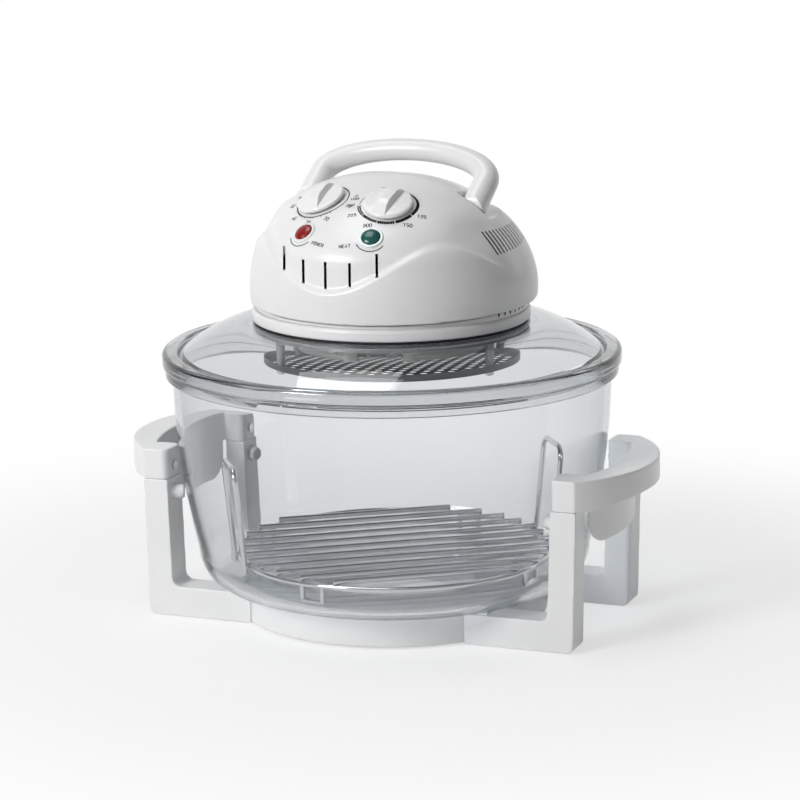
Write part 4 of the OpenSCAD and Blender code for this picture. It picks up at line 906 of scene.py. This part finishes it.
# The thermostat's ring: squares, a hatched band, blocks, and a band that tapers to a thin line
for i in range(8):
    a = 181 + 4.2 * i
    dial_arc(prints, heat_at, a, a + 3.7, 2.3)
    dial_arc(blanks, heat_at, a + 1.0, a + 2.7, 0.8)
for i in range(13):
    dial_tick(prints, heat_at, RING - 1.1, RING + 1.1, 217 + 2.75 * i, 0.72)
for i in range(8):
    dial_arc(prints, heat_at, 253.5 + 4.2 * i, 257.1 + 4.2 * i, 2.2)
dial_arc(prints, heat_at, 289, 325, 2.2, steps=20)
for i in range(60):
    share = max(0.0, (i / 59 - 0.35) / 0.65)
    dial_arc(prints, heat_at, 327 + 1.6 * i, 328.75 + 1.6 * i, 2.1 - 1.4 * share, steps=2)
for i in range(16):
    dial_arc(prints, heat_at, 112 + 4 * i, 114.6 + 4 * i, 0.6)
x, y = dial_at(RING + 0.4, 71)
prints.append(ribbon("mark", heat_at, [(x - 1.0, y), (x + 1.0, y)], 1.9))
for text, a in (("250", 176), ("225", -155), ("200", -118), ("150", -56), ("125", -27), ("100", 156)):
    x, y = dial_at(25.2, a)
    lettering(prints, heat_at, text, x * 1.06, y, 2.5)
x, y = dial_at(24.2, 98)
lettering(prints, heat_at, "TEMP", x, y, 2.4, tilt=3)
for side, word in ((-1, "POWER"), (1, "HEAT")):
    at = panel_frame(side * KNOB_X, LAMP_Y)
    under = [polar(11.0, -150 + 115 * i / 30) for i in range(31)]
    prints.append(ribbon("lamp_arc", at, under, 0.62))
    lettering(prints, at, word, -side * 17.5, -6.4, 2.4)
for piece in blanks:
    piece.data.transform(Matrix.Translation(Vector(heat_at[3]) * 0.06 * MM))
    dress(piece, "white_plastic")
prints += blanks
ink = join("dial_print", prints)
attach(ink, "lid")


# ---------------------------------------------------------------- rest of the CAD nodes

def pan_form():
    """The reflector: a shallow dish, open below, so that the guard's floor shows under it."""
    top, low, r = -0.4, -9.0, 80.0
    p = [(4.5, top), (r - 2, top)] + arc(r - 2, top - 2, 2, 90, 0, 6)
    p += [(r, low + 0.6), (r + 1.6, low + 0.6), (r + 1.6, low), (r - 0.8, low)]
    p += arc(r - 2.8, top - 2.8, 2, 0, 90, 6) + [(4.5, top - 0.8)]
    o = revolve("reflector", p, None, 160)
    o.data.transform(Matrix.Translation((0, 0, HEAD_Z * MM)))
    return dress(o, "guard_steel")


place(pan_form(), "reflector_pan", "lid")
FINISH = {"guard_posts": "tube_cap_steel", "lid_gasket": "black_rubber",
          "tube_caps": "guard_steel", "tube_clips": "guard_steel", "clamp_ring": "guard_steel"}


def guard_form():
    """The perforated guard with a thinner floor, mirrored about the axis of its four posts; the floor's flat faces
    get near-black painted shade.
    """
    o = copy_node("heater_guard", "heater_guard_form")
    across = Matrix.Rotation(math.radians(GUARD_POST_AXIS - 90), 4, "Z")
    flip = HEAD_M @ across @ Matrix.Scale(-1, 4, (0, 1, 0)) @ across.inverted() @ HEAD_M.inverted()
    o.data.transform(flip)
    o.data.flip_normals()
    floor_top = (HEAD_Z - GUARD_Z + GUARD_SHEET) * MM
    for v in o.data.vertices:
        if abs(v.co.z - floor_top) < 2e-5:
            v.co.z -= (GUARD_SHEET - 0.2) * MM
    dress(o, "guard_steel")
    # Painted shade: the floor's flat faces are near black, for the dark seen through its perforations
    o.data.materials.append(M["guard_floor_painted_shade"])
    for q in o.data.polygons:
        if abs(q.normal.z) > 0.9 and q.center.z < floor_top:
            q.material_index = 1
    shade(o, CAD_SHARP)
    return place(o, "heater_guard", "lid")


guard_form()

for n, o in nodes.items():
    if o.hide_render:
        continue
    shade(dress(o, FINISH.get(n, SLOT[n])), CAD_SHARP)


# ---------------------------------------------------------------- floor, light and camera

def floor_material():
    """A pale floor that glows to pure white away from the oven and keeps its shadow near it."""
    m = bpy.data.materials.new("floor")
    m.use_nodes = True
    nt = m.node_tree
    nt.nodes.clear()
    out = nt.nodes.new("ShaderNodeOutputMaterial")
    d = nt.nodes.new("ShaderNodeBsdfDiffuse")
    noise = nt.nodes.new("ShaderNodeTexNoise")
    noise.inputs["Scale"].default_value = 3.0
    ramp = nt.nodes.new("ShaderNodeValToRGB")
    ramp.color_ramp.elements[0].color = (0.93, 0.93, 0.93, 1)
    ramp.color_ramp.elements[1].color = (0.96, 0.96, 0.96, 1)
    nt.links.new(noise.outputs["Fac"], ramp.inputs["Fac"])
    nt.links.new(ramp.outputs["Color"], d.inputs["Color"])
    e = nt.nodes.new("ShaderNodeEmission")
    e.inputs["Color"].default_value = (1, 1, 1, 1)
    e.inputs["Strength"].default_value = 1.0
    mix = nt.nodes.new("ShaderNodeMixShader")
    path = nt.nodes.new("ShaderNodeLightPath")
    add = nt.nodes.new("ShaderNodeMath")
    add.operation = "MAXIMUM"
    gloss = nt.nodes.new("ShaderNodeMath")
    gloss.operation = "MAXIMUM"
    nt.links.new(path.outputs["Is Glossy Ray"], gloss.inputs[0])
    nt.links.new(path.outputs["Is Transmission Ray"], gloss.inputs[1])
    nt.links.new(path.outputs["Is Camera Ray"], add.inputs[0])
    nt.links.new(gloss.outputs[0], add.inputs[1])
    place_ = nt.nodes.new("ShaderNodeNewGeometry")
    far = nt.nodes.new("ShaderNodeVectorMath")
    far.operation = "LENGTH"
    nt.links.new(place_.outputs["Position"], far.inputs[0])
    share = nt.nodes.new("ShaderNodeMapRange")
    share.interpolation_type = "SMOOTHSTEP"
    share.inputs["From Min"].default_value = 0.20
    share.inputs["From Max"].default_value = 0.62
    share.inputs["To Min"].default_value = 0.60
    share.inputs["To Max"].default_value = 1.0
    nt.links.new(far.outputs["Value"], share.inputs["Value"])
    scale = nt.nodes.new("ShaderNodeMath")
    scale.operation = "MULTIPLY"
    nt.links.new(share.outputs["Result"], scale.inputs[1])
    nt.links.new(add.outputs[0], scale.inputs[0])
    nt.links.new(scale.outputs[0], mix.inputs["Fac"])
    nt.links.new(d.outputs["BSDF"], mix.inputs[1])
    nt.links.new(e.outputs["Emission"], mix.inputs[2])
    nt.links.new(mix.outputs["Shader"], out.inputs["Surface"])
    return m


floor = new_object("floor", [(-6, -6, 0), (6, -6, 0), (6, 6, 0), (-6, 6, 0)], [(0, 1, 2, 3)], floor_material(), False)

# The camera that was fitted to the photograph, in radians, metres and pixels
PHI = 0.3773
FAR, HIGH = 2.27185, 0.64683
FOCAL_PX, IMAGE_PX = 3273.46, 800
turn = Matrix.Rotation(PHI, 4, "Z")
pitch, pan, roll = 0.2145, 0.0023, -0.0125
ca, sa, cp, sp = math.cos(pan), math.sin(pan), math.cos(pitch), math.sin(pitch)
right = Vector((ca, -sa, 0))
forward = Vector((sa * cp, ca * cp, -sp))
up = Vector((sa * sp, ca * sp, cp))
cr, sr = math.cos(roll), math.sin(roll)
right2 = right * cr + up * sr
up2 = -right * sr + up * cr
pose = Matrix(((right2.x, up2.x, -forward.x, 0), (right2.y, up2.y, -forward.y, -FAR),
               (right2.z, up2.z, -forward.z, HIGH), (0, 0, 0, 1)))
cam_data = bpy.data.cameras.new("camera")
cam_data.sensor_width = 36
cam_data.lens = FOCAL_PX * cam_data.sensor_width / IMAGE_PX
cam_data.clip_end = 50
cam = bpy.data.objects.new("camera", cam_data)
cam.matrix_world = turn @ pose
scene.collection.objects.link(cam)
scene.camera = cam


def area(name, at, size, power):
    """A soft lamp that looks at the oven's middle."""
    d = bpy.data.lights.new(name, "AREA")
    d.shape = "RECTANGLE"
    d.size, d.size_y = size
    d.energy = power
    o = bpy.data.objects.new(name, d)
    at, target = turn @ Vector(at), turn @ Vector((0, 0, 0.2))
    o.location = at
    o.rotation_euler = (target - at).to_track_quat("-Z", "Y").to_euler()
    scene.collection.objects.link(o)


# Positions are given as the camera sees them: X right, Y away, Z up
area("key", (-1.7, -1.5, 1.35), (0.8, 0.8), 40)
area("top", (-0.4, 0.1, 1.9), (0.9, 0.8), 9)
area("rim", (1.6, 0.9, 0.8), (0.4, 1.0), 2)

# White for the camera, a soft room in the glass and the gloss, and an even fill for the rest
world = bpy.data.worlds.new("world")
scene.world = world
world.use_nodes = True
nt = world.node_tree
nt.nodes.clear()
out = nt.nodes.new("ShaderNodeOutputWorld")
fill = nt.nodes.new("ShaderNodeBackground")
fill.inputs["Color"].default_value = (0.98, 0.99, 1, 1)
fill.inputs["Strength"].default_value = 0.18
white = nt.nodes.new("ShaderNodeBackground")
white.inputs["Color"].default_value = (1, 1, 1, 1)
white.inputs["Strength"].default_value = 1.0
room = nt.nodes.new("ShaderNodeBackground")
coord = nt.nodes.new("ShaderNodeTexCoord")
dot = nt.nodes.new("ShaderNodeVectorMath")
dot.operation = "DOT_PRODUCT"
away = turn @ Vector((0, 1, 0))
dot.inputs[1].default_value = (away.x, away.y, 0)
nt.links.new(coord.outputs["Generated"], dot.inputs[0])
ramp = nt.nodes.new("ShaderNodeValToRGB")
shift = nt.nodes.new("ShaderNodeMapRange")
shift.inputs["From Min"].default_value = -1
shift.inputs["From Max"].default_value = 1
nt.links.new(dot.outputs["Value"], shift.inputs["Value"])
nt.links.new(shift.outputs["Result"], ramp.inputs["Fac"])
els = ramp.color_ramp.elements
els[0].position = 0.0
els[0].color = (0.55, 0.56, 0.58, 1)
els[1].position = 0.90
els[1].color = (1, 1, 1, 1)
for at, tone in ((0.25, 0.34), (0.45, 0.16), (0.62, 0.12), (0.76, 0.45)):
    e = els.new(at)
    e.color = (tone, tone * 1.04, tone * 1.1, 1)
nt.links.new(ramp.outputs["Color"], room.inputs["Color"])
path = nt.nodes.new("ShaderNodeLightPath")
clear_or_gloss = nt.nodes.new("ShaderNodeMath")
clear_or_gloss.operation = "MAXIMUM"
nt.links.new(path.outputs["Is Glossy Ray"], clear_or_gloss.inputs[0])
nt.links.new(path.outputs["Is Transmission Ray"], clear_or_gloss.inputs[1])
first = nt.nodes.new("ShaderNodeMixShader")
nt.links.new(clear_or_gloss.outputs[0], first.inputs["Fac"])
nt.links.new(fill.outputs["Background"], first.inputs[1])
nt.links.new(room.outputs["Background"], first.inputs[2])
mix = nt.nodes.new("ShaderNodeMixShader")
nt.links.new(path.outputs["Is Camera Ray"], mix.inputs["Fac"])
nt.links.new(first.outputs["Shader"], mix.inputs[1])
nt.links.new(white.outputs["Background"], mix.inputs[2])
nt.links.new(mix.outputs["Shader"], out.inputs["Surface"])

scene.view_settings.view_transform = "Standard"
scene.view_settings.look = "None"
scene.render.film_transparent = False
